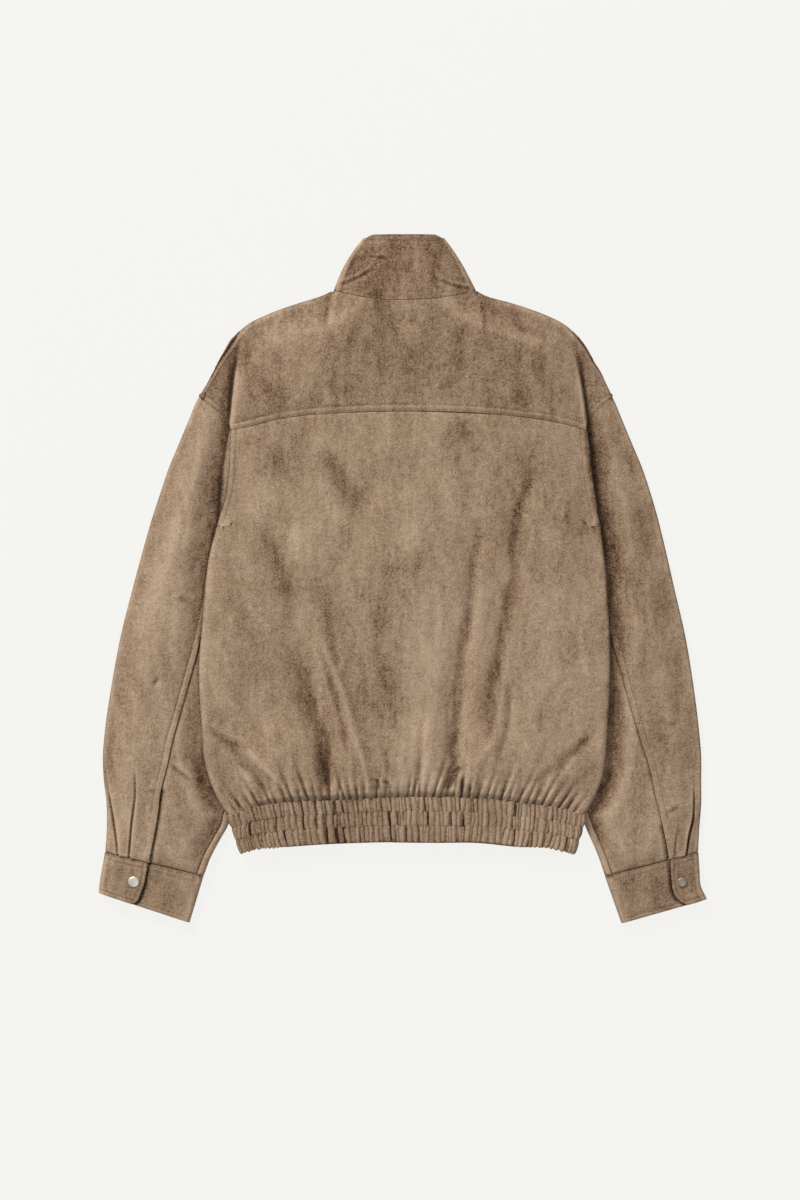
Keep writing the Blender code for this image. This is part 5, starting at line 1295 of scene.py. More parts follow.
def collar():
    """Grid of the collar, from the neck seam to the free edge."""
    rows = []
    steps = np.concatenate(((0.0, 0.012, 0.03), np.linspace(0.06, 0.86, COLLAR_ROWS),
                            (0.885, 0.9, COLLAR_STITCH, 0.925, 0.945, 0.97, 0.99, 1.0)))
    for share in steps:
        side_y = 337.6 + (398.5 - 337.6) * share
        left, right = (float(across(COLLAR_SIDE, side, side_y)) for side in (-1, 1))
        radius = 5.5 - 1.7 * share

        def top_z(x, share=share, radius=radius, left=left, right=right):
            seam_x = x / np.where(x < 0.0, left, right) * 83.0
            seam = back_top(seam_x, along(NECK, seam_x)) + 0.3
            high = 2.0 * radius + 2.6 * smooth((44.0 - np.abs(x)) / 30.0)
            level = seam + (high - seam) * share
            edge = smooth((min(left, right) - radius - np.abs(x)) / 6.0)
            return 2.0 * radius + (level - 2.0 * radius) * edge

        x, z, back, ends = ring_path(left, right, radius, 0.0, top_z, FRONT_LIFT)
        spread = np.clip(np.abs(x) / np.where(x < 0.0, left, right), 0.0, 1.0)
        neck_y = along(NECK, np.sign(x) * spread * 83.0) + SEAM
        top_y = 402.6 - 4.1 * smooth((spread - 0.72) / 0.28)
        front_low = front_neck(spread * 83.0) + 1.5 * SEAM
        front_high = 343.0 + 55.5 * spread ** 2.4
        y = np.where(back > 0.5, neck_y + (top_y - neck_y) * share,
                     front_low + (front_high - front_low) * share)
        if share > 0.0:
            y = y + (side_y - y) * smooth((spread - 0.86) / 0.14)
        path = np.column_stack((x, y, z))
        counts = (COLLAR_FRONT - 9, 9, COLLAR_COLUMNS, 9, COLLAR_FRONT - 9)
        rows.append(sample(path, divided(measure(path)[ends], counts)))
    grid = np.array(rows)
    on_back = np.zeros(grid.shape[:2])
    on_back[:, COLLAR_FRONT:COLLAR_FRONT + 1 + COLLAR_COLUMNS] = 1.0
    x, y = grid[..., 0], grid[..., 1]
    inside = smooth((np.minimum(across(COLLAR_SIDE, -1, y), across(COLLAR_SIDE, 1, y))
                     - np.abs(x) - 1.0) / 7.0) * on_back
    relief = 0.25 * ripple(x, y, 60.0, 50.0, 31) + 0.15 * ripple(x, y, 22.0, 24.0, 32)
    relief = relief - creases(COLLAR_CREASES, x, y)
    sewn = np.exp(-((steps - COLLAR_STITCH) / 0.011) ** 2)[:, None] * 0.55
    grid[..., 2] += relief * inside - sewn * on_back
    rows_kept["collar"] = grid
    # Painted shade in the hollows and painted highlight on the ridges, and the whole collar made
    # 0.45 darker
    return wall("collar_band", grid, BAND, -1, {"relief": hollows(grid, 10, 0.9) - 0.45})


collar_band = collar()
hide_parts("collar")
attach(collar_band, "root")

# %% [markdown]
# ## Waistband
# The waistband is a doubled band with elastic in three channels. It is stretched while the two
# rows between the channels are sewn, so on release the suede gathers into close, uneven ruffles.
# The channels share their ruffles, but each shifts and leans them a little, and the patterns meet
# at the sewn rows. A ruffle is rounded on top and the valley beside it is sharp; painted shade
# darkens the valleys, deeply in some of them, and a painted highlight lightens the crests. The band
# swells between the sewn rows.

# %% Waistband
RUFFLES = 90
CHANNELS = 3
CROSS_STEPS = 736
BAND_WIDTH = 420.0
BAND_FRONT = 16


def ruffle_height(spread, share):
    """Ruffle height at a share of the back's width and of the band's height.

    In a channel the height is a power of sin(pi * u), u running from 0 to 1 over each ruffle, so
    crests are broad and valleys sharp; near a sewn row two channels' patterns are blended. The
    second result is painted shade: a bell round every valley, deep for some of them.
    """
    rng = np.random.default_rng(88)
    widths = rng.uniform(0.45, 1.75, RUFFLES)
    middle = np.cumsum(widths)[:-1] / widths.sum()
    tall = rng.uniform(0.82, 1.12, RUFFLES)
    valley_shade_base = np.where(rng.random(RUFFLES + 1) < 0.5, 0.78, 0.5)
    valley_shade_base = valley_shade_base * rng.uniform(0.85, 1.15, RUFFLES + 1)
    total = np.zeros(np.broadcast(spread, share).shape)
    weight, dark = np.zeros_like(total), np.zeros_like(total)
    for k in range(CHANNELS):
        moved = np.sort(middle + rng.normal(0.0, 0.0024, RUFFLES - 1))
        valleys = np.concatenate(((0.0,), moved, (1.0,)))
        high = np.clip(tall + rng.normal(0.0, 0.09, RUFFLES), 0.7, 1.2)
        lean, bow = rng.normal(0.0, 0.0027, (2, RUFFLES + 1))
        down = (share - (k + 0.5) / CHANNELS) * CHANNELS
        near = np.clip(1.0 - (np.abs(down) - 0.40) / 0.2, 0.0, 1.0)
        drift = np.interp(spread, valleys, lean) * down
        drift = drift + np.interp(spread, valleys, bow) * down ** 2
        where = np.clip(spread + drift, 0.0, 0.999999)
        place = np.clip(np.searchsorted(valleys, where, side="right") - 1, 0, RUFFLES - 1)
        u = (where - valleys[place]) / np.maximum(valleys[place + 1] - valleys[place], 1e-5)
        total += near * high[place] * np.maximum(np.sin(np.pi * u), 0.0) ** 0.75
        valley_shade_weight = valley_shade_base * rng.uniform(0.3, 1.6, RUFFLES + 1)
        for edge in (place, place + 1):
            away = np.abs(where - valleys[edge]) * BAND_WIDTH
            dark += near * valley_shade_weight[edge] * np.exp(-(away / (0.65 + 0.35 * valley_shade_weight[edge])) ** 2)
        weight += near
    weight = np.maximum(weight, 1e-6)
    return total / weight, dark / weight


def channel_swell(share):
    """Swell of the band between its sewn rows: from 0 at a row to 1 in a channel's middle."""
    inside = np.abs(np.sin(np.pi * share * CHANNELS))
    return inside ** 0.45


print("ruffles:", RUFFLES, "in", CHANNELS, "channels")

# %% The waistband
def front_hem(x):
    """Hem seam of the fronts: y at distance x from the centre line."""
    return -261.5 - 15.8 * smooth((np.abs(x) - 110.0) / 98.0)


def waistband():
    """Grid of the waistband, from the hem seam to the lower edge."""
    per_channel = np.array((0.0, 0.025, 0.07, 0.16, 0.32, 0.5, 0.68, 0.84, 0.93, 0.975))
    steps = np.append((np.arange(CHANNELS)[:, None] + per_channel).ravel() / CHANNELS, 1.0)
    rows = []
    for share in steps:
        left, right = (float(np.interp(share, BAND_SIDE[:, 0], BAND_SIDE[:, k])) for k in (1, 2))
        base = OVER_SLEEVE + (3.0 - OVER_SLEEVE) * float(smooth(share * 1.4))
        radius = (HEM_TOP - base) / 2.0
        bulge = 1.7 * float(channel_swell(share)) - 0.9
        left, right = left + bulge, right + bulge
        x, z, back, ends = ring_path(left, right, radius, base,
                                     lambda m: np.full(len(m), HEM_TOP), FRONT_LIFT, 11, 400)
        spread = x / np.where(x < 0.0, left, right)
        top_y = along(HEM, np.where(x < 0.0, 207.8, 211.2) * spread) - 2.0 * SEAM
        low_y = along(BAND_EDGE, np.where(x < 0.0, 191.6, 199.1) * spread)
        front_top = front_hem(np.abs(spread) * 209.0) - 2.0 * SEAM
        front_low = low_y - 4.0 * smooth((190.0 - np.abs(x)) / 60.0)
        near = smooth((np.abs(spread) - 0.955) / 0.04)
        top_y = np.where(back < 0.5, front_top + (top_y - front_top) * near, top_y)
        low_y = np.where(back < 0.5, front_low, low_y)
        path = np.column_stack((x, top_y + (low_y - top_y) * share, z))
        marks = measure(path)[ends[[0, 1, 4, 5]]]
        rows.append(sample(path, divided(marks, (BAND_FRONT, CROSS_STEPS, BAND_FRONT))))
    grid = np.array(rows)
    spread = np.zeros(grid.shape[1])
    spread[BAND_FRONT:BAND_FRONT + 1 + CROSS_STEPS] = np.linspace(0.0, 1.0, CROSS_STEPS + 1)
    spread, share = np.meshgrid(spread, steps)
    inner = smooth(np.minimum(spread, 1.0 - spread) / 0.012)
    swell = channel_swell(share) * smooth((1.0 - share) / 0.03) * smooth(share / 0.02)
    ruffle, dark = ruffle_height(spread, share)
    ruffle = ruffle * inner
    grid[..., 2] += ruffle * (3.1 + 0.35 * swell) - 2.4 * inner
    grid[..., 1] -= 3.0 * (ruffle - 0.5) * smooth((share - 0.8) / 0.2) * inner
    # Painted shade in the valleys, a painted highlight on the crests and a little light in each
    # channel's middle
    relief = 0.15 - 3.1 * dark + 0.9 * (ruffle - 0.6) + (swell - 0.9) * 0.1
    rows_kept["waistband"] = grid
    return wall("waistband_ruffled", grid, BAND * 0.6, -1, {"relief": relief * inner})


band = waistband()
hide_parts("waistband")
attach(band, "root")

# %% [markdown]
# ## Fronts
# The two fronts lie face down under the back, flat on the table, and only lift where they pass
# over the inner folds of the sleeves and where the left front laps over the right one. They have
# the plain finish of the rest: a neckline, a hem, a topstitched edge along the closure.

# %% Fronts
NECK_AT = np.array((77.5, 66.0, 54.0, 40.0, 26.0, 15.5, 1.5, -12.5))
SHOULDER_AT = np.array((209.0, 232.0, 252.0, 271.0, 284.0, 297.0, 306.0, 317.0, 327.0))


def lapped(x, side):
    """Lift of the front lap: the left front is outermost, one stud above the table."""
    if side < 0:
        return FRONT_LIFT * smooth((x + 24.0) / 7.0)
    return (FRONT_LIFT + CLOTH + SEAM) * smooth((26.0 - x) / 11.0)


def front_line(side, x_end, y):
    """Distances of a front's columns on one row: over the sleeve, flat part and lap."""
    fold = min(float(across(INNER, side, y)) + 1.5, x_end - 1.5)
    drop = (x_end, fold, fold - 8.0, fold - 16.5)
    return np.concatenate((drop, np.linspace(drop[-1], 26.0, 11)[1:-1], NECK_AT[-4:]))


def front_plan(side):
    """Rows of a front in the plane, with the share by which each lies over the sleeve."""
    fine_y = np.linspace(SHOULDER_AT[0] - 8.0, SHOULDER_AT[-1] + 6.0, 300)
    fine = np.stack((across(OUTLINE, side, fine_y), fine_y), 1)
    normal = np.stack((np.gradient(fine_y), -np.gradient(fine[:, 0])), 1)
    normal = normal / np.linalg.norm(normal, axis=1, keepdims=True)
    fine = fine - (fold_height(fine_y) / 2.0 + 2.8)[:, None] * normal
    order = np.argsort(fine[:, 1])
    shoulder = np.stack((np.interp(SHOULDER_AT, fine[order, 1], fine[order, 0]), SHOULDER_AT), 1)
    slope = 2.0 * (np.abs(NECK_AT) / 83.0) ** 1.6
    neck = np.stack((NECK_AT, front_neck(NECK_AT) - 2.0 * SEAM * np.hypot(1.0, slope)), 1)
    top = np.concatenate((shoulder, neck))
    ends = [row_points(side, row, (crossing(side, row, FRONT_ARMHOLE, SEAM),))[0]
            for row in range(1, 6)]
    last = ends[-1]
    base_x = front_line(side, last[0] - SEAM, last[1])
    base = np.stack((base_x, np.full(len(base_x), last[1])), 1)
    share = np.linspace(0.0, 1.0, len(base_x))
    plan = [(top, 0.0)]
    for end in ends:
        mix = (top[0, 1] - end[1]) / (top[0, 1] - last[1])
        line = top + (base - top) * mix
        shift = np.array((end[0] - SEAM, end[1])) - line[0]
        plan.append((line + shift * ((1.0 - share) ** 2)[:, None], 0.0))
    fold = across(INNER, side, 50.0) - 1.5
    climb = [(fold, 50.6, 0.0), (fold - 0.3, 48.4, 0.5), (fold - 0.3, 46.4, 1.0)]
    sides = [(float(side_seam(side, back_side(row))) - 1.5 * SEAM, back_side(row), 1.0)
             for row in (0.285, 0.37, 0.46, 0.55, 0.64, 0.73, 0.82, 0.9, 0.955, 1.0)]
    for x_end, y, over in climb + sides:
        x = front_line(side, x_end, y)
        low = np.minimum(y + 150.0, 0.0) / (back_side(1.0) + 150.0)
        row_y = np.where(low > 0.0, -150.0 + low * (front_hem(x) + 3.5 * SEAM + 150.0), y)
        plan.append((np.stack((x, row_y), 1), over))
    return plan


print("overlap of the fronts:", 2.0 * LAP, "mm")

# %% The two fronts
def spread_out(grid, times, axis):
    """Straight steps between the rows of a grid, each cell divided into a number of parts."""
    grid = np.moveaxis(grid, axis, 0)
    at = np.linspace(0.0, len(grid) - 1.0, times * (len(grid) - 1) + 1)
    k = np.minimum(at.astype(int), len(grid) - 2)
    t = (at - k).reshape((-1,) + (1,) * (grid.ndim - 1))
    return np.moveaxis(grid[k] * (1.0 - t) + grid[k + 1] * t, 0, axis)


def front_panel(side, word):
    """Grid of a front: its rows in the plane, refined, then lifted to their height."""
    plan = front_plan(side)
    flat = np.array([np.column_stack((side * line[:, 0], line[:, 1],
                                      np.full(len(line), over))) for line, over in plan])
    flat = spread_out(spread_out(flat, 4, 0), 4, 1)
    x, y, over = flat[..., 0], flat[..., 1], flat[..., 2]
    start = either(INNER, x, y) - 16.0
    z = OVER_SLEEVE * over * smooth((np.abs(x) - start) / 14.0) + lapped(x, side)
    placket = np.abs(-side * x - LAP)
    groove = 0.3 * np.exp(-((placket - 5.0) / 1.6) ** 2)
    grid = np.stack((x, y, z + groove), 2)
    # The stitched groove is painted darker, a painted shade
    return wall("front_cloth_" + word, grid, CLOTH, side, {"relief": -groove})


for sleeve_side, word in ((-1, "left"), (1, "right")):
    piece = front_panel(sleeve_side, word)
    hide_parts("front_" + word)
    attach(piece, "root")

# %% [markdown]
# ## Cuffs and press studs
# A cuff is a doubled band closed into a flat ring, and its rounded end laps over the other on
# the back, held by one press stud. It is sewn 4.5 mm inside its edges and twice at the seam to
# the sleeve. The sewing pulls the edge into a slim roll beside a groove, and that roll catches
# the light. A stud's cap is a low dome turned from a line: rim, shoulder and a dished middle.

# %% Cuffs and studs
CUFFS = ((-1, (351.2, -321.3), (235.6, -349.3), (358.5, -368.5), (251.9, -403.6)),
         (1, (344.6, -321.3), (234.9, -349.3), (354.4, -376.0), (254.2, -404.4)))
CUFF_END = np.array(((0.0, 0.0), (0.3, 0.6), (0.55, 3.0), (0.75, 7.5), (0.9, 14.0), (1.0, 24.0)))
DRAWN_IN = {-1: -0.8, 1: 4.2}
CUFF_CREASES = (
    (6.0, 1.0, 0.2, 0.3, 0.4, ((0.25, 0.05), (0.33, 0.4), (0.3, 0.8))),
    (5.0, 0.8, 0.2, 0.3, 0.4, ((0.62, 0.1), (0.6, 0.45), (0.66, 0.9))),
    (7.0, 0.8, 0.0, 0.4, 0.4, ((0.82, 0.2), (0.86, 0.6), (0.84, 0.95))))


def cuff_row(side, share, ends, counts):
    """One row of a cuff: lapped top, outer fold, along the table, inner fold, under-lap."""
    top_out, top_in, low_out, low_in = ends
    radius = CUFF_TOP / 2.0
    seam = float(across(BACK_SEAM, side, -333.0))
    out, end = top_out + (low_out - top_out) * share, top_in + (low_in - top_in) * share
    out[0] -= DRAWN_IN[side] * float(through((0.0, 0.4, 0.72, 1.0), (0.0, 0.6, 1.0, 0.0), share))
    width = np.linalg.norm(end - out)
    set_back = float(through(CUFF_END[:, 0], CUFF_END[:, 1], share))
    start = (top_out[0] - seam) - set_back * 0.55 + 3.0 * share
    top = np.linspace(start, radius, 60)
    turn = np.linspace(0.0, np.pi, 17)[1:-1]
    floor = np.linspace(radius, width - radius, 60)
    back = np.linspace(width - radius, max(start - 26.0 + set_back * 0.3, 18.0), 60)
    reach = np.concatenate((top, radius - radius * np.sin(turn), floor,
                            width - radius + radius * np.sin(turn), back))
    lift = (BAND + SEAM + 0.1) * smooth((top - 4.0) / 12.0)
    z = np.concatenate((CUFF_TOP + lift, radius + radius * np.cos(turn), np.zeros(60),
                        radius - radius * np.cos(turn), np.full(60, CUFF_TOP)))
    flat = out + reach[:, None] * (end - out) / width
    path = np.column_stack((side * flat[:, 0], flat[:, 1], z))
    length = measure(path)
    marks = length[[0, 59, 75, 134, 150, len(length) - 1]]
    first = np.array((0.0, 0.5, 1.4, 2.6, 3.6, 4.3, 4.9, 5.6, 6.8, 8.5))
    rest = divided(np.append(first[-1] + 1.8, marks[1:]), counts)
    stations = np.concatenate((first, rest))
    return sample(path, stations), stations, marks[1]


def cuff_cloth(side, word, ends):
    """Grid of a cuff with its two sewn lines at the top, one at the edges and soft creases."""
    ends = [np.array(p) for p in ends]
    height = np.linalg.norm(ends[2] - ends[0])
    down = np.concatenate(((0.0, 0.5, 1.1, 1.7, 2.4, 3.6, 5.0, 6.0, 6.6, 7.3, 8.4),
                           np.linspace(10.0, height - 7.5, 24),
                           height - np.array((6.3, 5.5, 4.9, 4.4, 3.8, 2.8, 1.7, 0.8, 0.3, 0.0))))
    rows = [cuff_row(side, float(d / height), ends, (44, 10, 16, 10, 34)) for d in down]
    grid = np.array([row[0] for row in rows])
    along_row = np.array([row[1] for row in rows])
    on_back = 1.0 - smooth((along_row - rows[0][2]) / 2.0)
    down = np.broadcast_to(down[:, None], along_row.shape)
    other = 1.0 - (np.arange(grid.shape[1]) < grid.shape[1] - 34)
    inset = np.minimum(along_row, height - down)
    sewn = np.exp(-((inset - 4.6) / 0.75) ** 2) * (down > 1.0)
    sewn = np.maximum(sewn, np.exp(-((down - 1.7) / 0.7) ** 2) * (along_row > 3.0))
    sewn = np.maximum(sewn, np.exp(-((down - 6.6) / 0.75) ** 2) * (along_row > 4.0))
    roll = 0.35 * np.exp(-((inset - 2.2) / 1.6) ** 2)
    width = float(rows[0][2])
    relief = 0.35 * ripple(grid[..., 0], grid[..., 1], 40.0, 34.0, 41 + side)
    placed = [(*row[:-1], np.array(row[-1]) * (width, height)) for row in CUFF_CREASES]
    relief = relief - creases(placed, along_row, down)
    relief = relief * smooth((inset - 4.5) / 6.0) * smooth((down - 6.0) / 6.0)
    keep = np.maximum(on_back, other * smooth((grid[..., 2] - 9.5) / 1.0))
    grid[..., 2] += (roll - (0.6 - 0.3 * other) * sewn + relief) * keep
    lap = grid[:, :1, :2]
    away = np.linalg.norm(grid[..., :2] - lap, axis=2)
    # Painted shadow on the under-lap beside the lapped end, and painted shade in the hollows,
    # weaker at the top seam
    lap_shadow = np.exp(-(away / 3.5) ** 2) * other * (grid[..., 2] < CUFF_TOP + 1.5)
    rows_kept["cuff_" + word] = grid
    shade = hollows(grid, 10, 0.9) * (0.4 + 0.6 * smooth((down - 1.0) / 3.0)) - 1.6 * lap_shadow
    return wall("cuff_cloth_" + word, grid, BAND, side, {"relief": shade})


# %% Press studs
STUD_LINE = np.array(((1.02, 0.0), (1.03, 0.12), (1.0, 0.3), (0.92, 0.52), (0.8, 0.72),
                      (0.62, 0.92), (0.42, 1.04), (0.2, 1.09), (0.0, 1.1)))


def stud_cap(name, node, up=1, wide=1.0):
    """Cap turned from STUD_LINE round the vertical through the middle of its node."""
    low, high = (np.array(corner) * 1000.0 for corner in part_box(node))
    middle = (low + high) / 2.0
    foot = low[2] if up > 0 else high[2]
    around = np.linspace(0.0, 2.0 * np.pi, 40, endpoint=False)
    radius, lift = STUD_LINE[:-1, 0] * STUD_RADIUS * wide, STUD_LINE[:-1, 1] * STUD_HEIGHT
    points = np.stack((middle[0] + radius[:, None] * np.cos(around),
                       middle[1] + radius[:, None] * np.sin(around),
                       np.broadcast_to(foot + up * lift[:, None], (len(radius), 40))), 2)
    count = 40 * len(radius)
    ends = ((*middle[:2], foot), (*middle[:2], foot + up * STUD_LINE[-1, 1] * STUD_HEIGHT))
    faces = []
    for level in range(len(radius) - 1):
        for k in range(40):
            a, b = level * 40 + k, level * 40 + (k + 1) % 40
            faces.append((a, b, b + 40, a + 40)[::up])
    for k in range(40):
        faces.append((count, (k + 1) % 40, k)[::up])
        last = count - 40
        faces.append((count + 1, last + k, last + (k + 1) % 40)[::up])
    thing = mesh_object(name, np.concatenate((points.reshape(-1, 3), ends)), faces)
    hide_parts(node)
    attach(thing, "root")


for (sleeve_side, *ends), word in zip(CUFFS, ("left", "right")):
    piece = cuff_cloth(sleeve_side, word, ends)
    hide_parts("cuff_" + word)
    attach(piece, "root")
    stud_cap("cuff_press_stud_" + word, "cuff_stud_" + word, 1, 1.0 if sleeve_side < 0 else 0.86)
for k in range(1, 7):
    stud_cap("front_press_stud_%d" % k, "front_stud_%d" % k, -1)
print("studs: 2 on the cuffs, 6 under the front")

# %% [markdown]
# ## Small helper for materials
# A material is a tree of nodes, and a long one reads best as one line a node. The helper adds a
# node, sets its properties, and fills each socket with a value or a link.

# %% Colours and nodes
def linear(code):
    """Linear RGBA of an sRGB hex code."""
    value = np.array([int(code[i:i + 2], 16) for i in (1, 3, 5)]) / 255.0
    return (*np.where(value <= 0.04045, value / 12.92, ((value + 0.055) / 1.055) ** 2.4), 1.0)


def add(tree, kind, settings=None, **sockets):
    """Adds a node; each socket name takes a value or another node's output. A double underscore
    stands for a space, and _2 or _3 at the end for the second or third socket of that name."""
    node = tree.nodes.new("ShaderNode" + kind)
    for key, value in (settings or {}).items():
        setattr(node, key, value)
    for key, value in sockets.items():
        which = int(key[-1]) - 1 if key[-2:] in ("_2", "_3") else 0
        title = (key[:-2] if which else key).replace("__", " ")
        socket = [s for s in node.inputs if s.name == title and s.enabled][which]
        if isinstance(value, bpy.types.NodeSocket):
            tree.links.new(value, socket)
        else:
            socket.default_value = value
    return node


def new_material(name):
    """Empty node tree with its output node."""
    material = bpy.data.materials.new(name)
    material.use_nodes = True
    material.node_tree.nodes.clear()
    return material, material.node_tree, add(material.node_tree, "OutputMaterial")


# %% [markdown]
# ## Suede
# Suede is the flesh side of the hide, sanded to a short nap. The nap has no gloss, and the hide
# takes the dye unevenly in soft patches. The colour is also painted darker and redder in hollows
# and folds and lighter on ridges: painted shade and painted highlight. Patches are about 66 mm long
# and 25 mm wide, streaks of 30 by 6 mm run down the body, and the nap's own grain is 2 mm.

# %% Suede
def suede(name, deep, dark, middle, light):
    """Napped leather in four colours, the first for the deepest painted shade.

    A sum of patterns in real sizes picks the colour: patches 25 mm across and 66 mm
    long, thin streaks, clouds of 120 mm, worn spots of 8 mm, the nap's grain and the relief value,
    which is painted shade and painted highlight.
    """
    material, tree, output = new_material(name)
    where = add(tree, "TexCoord").outputs["Object"]
    tall = add(tree, "Mapping", Vector=where, Scale=(1000 / 25.0, 1000 / 66.0, 1000 / 40.0))
    patches = add(tree, "TexNoise", Vector=tall.outputs[0], Scale=1.0, Detail=6.0, Roughness=0.66,
                  Distortion=0.4)
    thin = add(tree, "Mapping", Vector=where, Scale=(1000 / 6.0, 1000 / 30.0, 1000 / 10.0))
    streaks = add(tree, "TexNoise", Vector=thin.outputs[0], Scale=1.0, Detail=5.0, Roughness=0.7)
    worn = add(tree, "TexNoise", Vector=where, Scale=1000 / 8.0, Detail=6.0, Roughness=0.75,
               Distortion=0.3)
    clouds = add(tree, "TexNoise", Vector=where, Scale=1000 / 120.0, Detail=2.0)
    nap = add(tree, "TexNoise", Vector=where, Scale=1000 / 1.9, Detail=3.0, Roughness=0.7)
    pebble = add(tree, "TexNoise", Vector=where, Scale=1000 / 5.0, Detail=3.0)
    # The relief value is painted shade and painted highlight: darker in hollows, along the folded
    # edges and beside the body, lighter on ridges
    relief = add(tree, "Attribute", {"attribute_name": "relief"}).outputs["Fac"]
    spots = add(tree, "MapRange", {"interpolation_type": "SMOOTHSTEP"},
                Value=worn.outputs["Fac"], From__Min=0.40, From__Max=0.60)
    parts = ((patches.outputs["Fac"], 0.80), (streaks.outputs["Fac"], 0.42),
             (spots.outputs[0], 0.06), (worn.outputs["Fac"], 0.30),
             (clouds.outputs["Fac"], 0.45), (nap.outputs["Fac"], 1.25), (relief, 0.32))
    total = 0.5 - 0.5 * sum(share for _, share in parts[:-1])
    for value, share in parts:
        total = add(tree, "Math", {"operation": "MULTIPLY_ADD"}, Value=value, Value_2=share,
                    Value_3=total).outputs[0]
    ramp = add(tree, "ValToRGB", Fac=total)
    steps = ramp.color_ramp.elements
    steps[0].position, steps[0].color = 0.0, linear(deep)
    steps[1].position, steps[1].color = 0.95, linear(light)
    steps.new(0.20).color = linear(dark)
    steps.new(0.52).color = linear(middle)
    rough = add(tree, "Bump", Strength=0.45, Distance=0.0008, Height=nap.outputs["Fac"])
    uneven = add(tree, "Bump", Strength=0.5, Distance=0.0016, Height=pebble.outputs["Fac"],
                 Normal=rough.outputs[0])
    shader = add(tree, "BsdfPrincipled", Base__Color=ramp.outputs["Color"], Roughness=0.95,
                 IOR=1.45, Sheen__Weight=0.12, Sheen__Roughness=0.5, Sheen__Tint=linear("#d8c3ab"),
                 Specular__IOR__Level=0.12, Normal=uneven.outputs[0])
    tree.links.new(shader.outputs[0], output.inputs["Surface"])
    return material


body_suede = suede("sanded_split_suede", "#3a2b20", "#6a503c", "#9a8169", "#bfa68d")
band_suede = suede("sanded_suede_doubled", "#38291e", "#664c39", "#977e66", "#bba289")
print("suede made:", body_suede.name, band_suede.name)

# %% [markdown]
# ## Thread, studs and floor
# The topstitching is a twisted polyester thread, a tone lighter than the suede, with a faint
# silky gloss. The studs are stamped brass with a satin nickel plating, soft enough to blur what
# they mirror; the right cuff's stud has a darker, browner copy of the plating, painted shade and a
# painted reflection of the suede. The floor is a sheet of matt white paper.

# %% Other materials
def thread_material():
    """Polyester thread: fine stripes across Object coordinates for the twist."""
    material, tree, output = new_material("twisted_polyester_thread")
    where = add(tree, "TexCoord").outputs["Object"]
    twist = add(tree, "TexNoise", Vector=where, Scale=1000 / 0.8, Detail=1.0)
    ramp = add(tree, "ValToRGB", Fac=twist.outputs["Fac"])
    ramp.color_ramp.elements[0].position = 0.3
    ramp.color_ramp.elements[0].color = linear("#8a6f57")
    ramp.color_ramp.elements[1].position = 0.7
    ramp.color_ramp.elements[1].color = linear("#b09a82")
    shader = add(tree, "BsdfPrincipled", Base__Color=ramp.outputs["Color"], Roughness=0.6)
    tree.links.new(shader.outputs[0], output.inputs["Surface"])
    return material


def plated_material(name, dark, light):
    """Satin nickel: a fine noise varies the roughness and the tone a little."""
    material, tree, output = new_material(name)
    where = add(tree, "TexCoord").outputs["Object"]
    grain = add(tree, "TexNoise", Vector=where, Scale=1000 / 0.7, Detail=3.0)
    rough = add(tree, "MapRange", Value=grain.outputs["Fac"], To__Min=0.42, To__Max=0.56)
    ramp = add(tree, "ValToRGB", Fac=grain.outputs["Fac"])
    ramp.color_ramp.elements[0].color = linear(dark)
    ramp.color_ramp.elements[1].color = linear(light)
    shader = add(tree, "BsdfPrincipled", Base__Color=ramp.outputs["Color"], Metallic=0.8,
                 Roughness=rough.outputs[0])
    tree.links.new(shader.outputs[0], output.inputs["Surface"])
    return material


def paper_material():
    """Matt paper that glows a little, as a light table does, so shadows on it stay faint."""
    material, tree, output = new_material("matt_white_paper")
    shader = add(tree, "BsdfPrincipled", Base__Color=linear("#40403f"), Roughness=0.9,
                 Emission__Color=linear("#f5f4f0"), Emission__Strength=0.945,
                 Specular__IOR__Level=0.0)
    tree.links.new(shader.outputs[0], output.inputs["Surface"])
    return material


thread, paper = thread_material(), paper_material()
plated = plated_material("satin_nickel_plate", "#d3ccbd", "#f4efe4")
# Darker, browner copy of the plating for the right cuff's stud: painted shade and a painted
# reflection of the suede it tilts towards
shaded_plate = plated_material("nickel_plate_painted_shade", "#8d7c6b", "#b5a595")
for name, thing in made.items():
    if "press_stud" in name:
        look = shaded_plate if name == "cuff_press_stud_right" else plated
        slot_name = "stud_metal"
    elif name.startswith(("collar", "waistband", "cuff")):
        look, slot_name = band_suede, "suede_band"
    else:
        look, slot_name = body_suede, "suede"
    thing.data.materials.append(look)

# %% [markdown]
# ## Topstitching
# A row of stitches is many short threads, 3.4 mm apart, each sunk at both ends. One stitch is a
# spindle of twelve faces. Its row follows a line of the grid it is sewn on, in the groove that
# the stitches have pulled, so that a seam that moves takes its thread with it.

# %% Topstitching
STITCH, THREAD_RADIUS = 3.4, 0.34
SPINDLE = np.array(((-1.25, 0.0, -0.25), (-0.7, 1.0, 0.0), (-0.7, 0.0, 1.0), (-0.7, -1.0, 0.0),
                    (-0.7, 0.0, -1.0), (0.7, 1.0, 0.0), (0.7, 0.0, 1.0), (0.7, -1.0, 0.0),
                    (0.7, 0.0, -1.0), (1.25, 0.0, -0.25)))
SPINDLE_FACES = ([(0, 1 + (k + 1) % 4, 1 + k) for k in range(4)]
                 + [(1 + k, 1 + (k + 1) % 4, 5 + (k + 1) % 4, 5 + k) for k in range(4)]
                 + [(9, 5 + k, 5 + (k + 1) % 4) for k in range(4)])


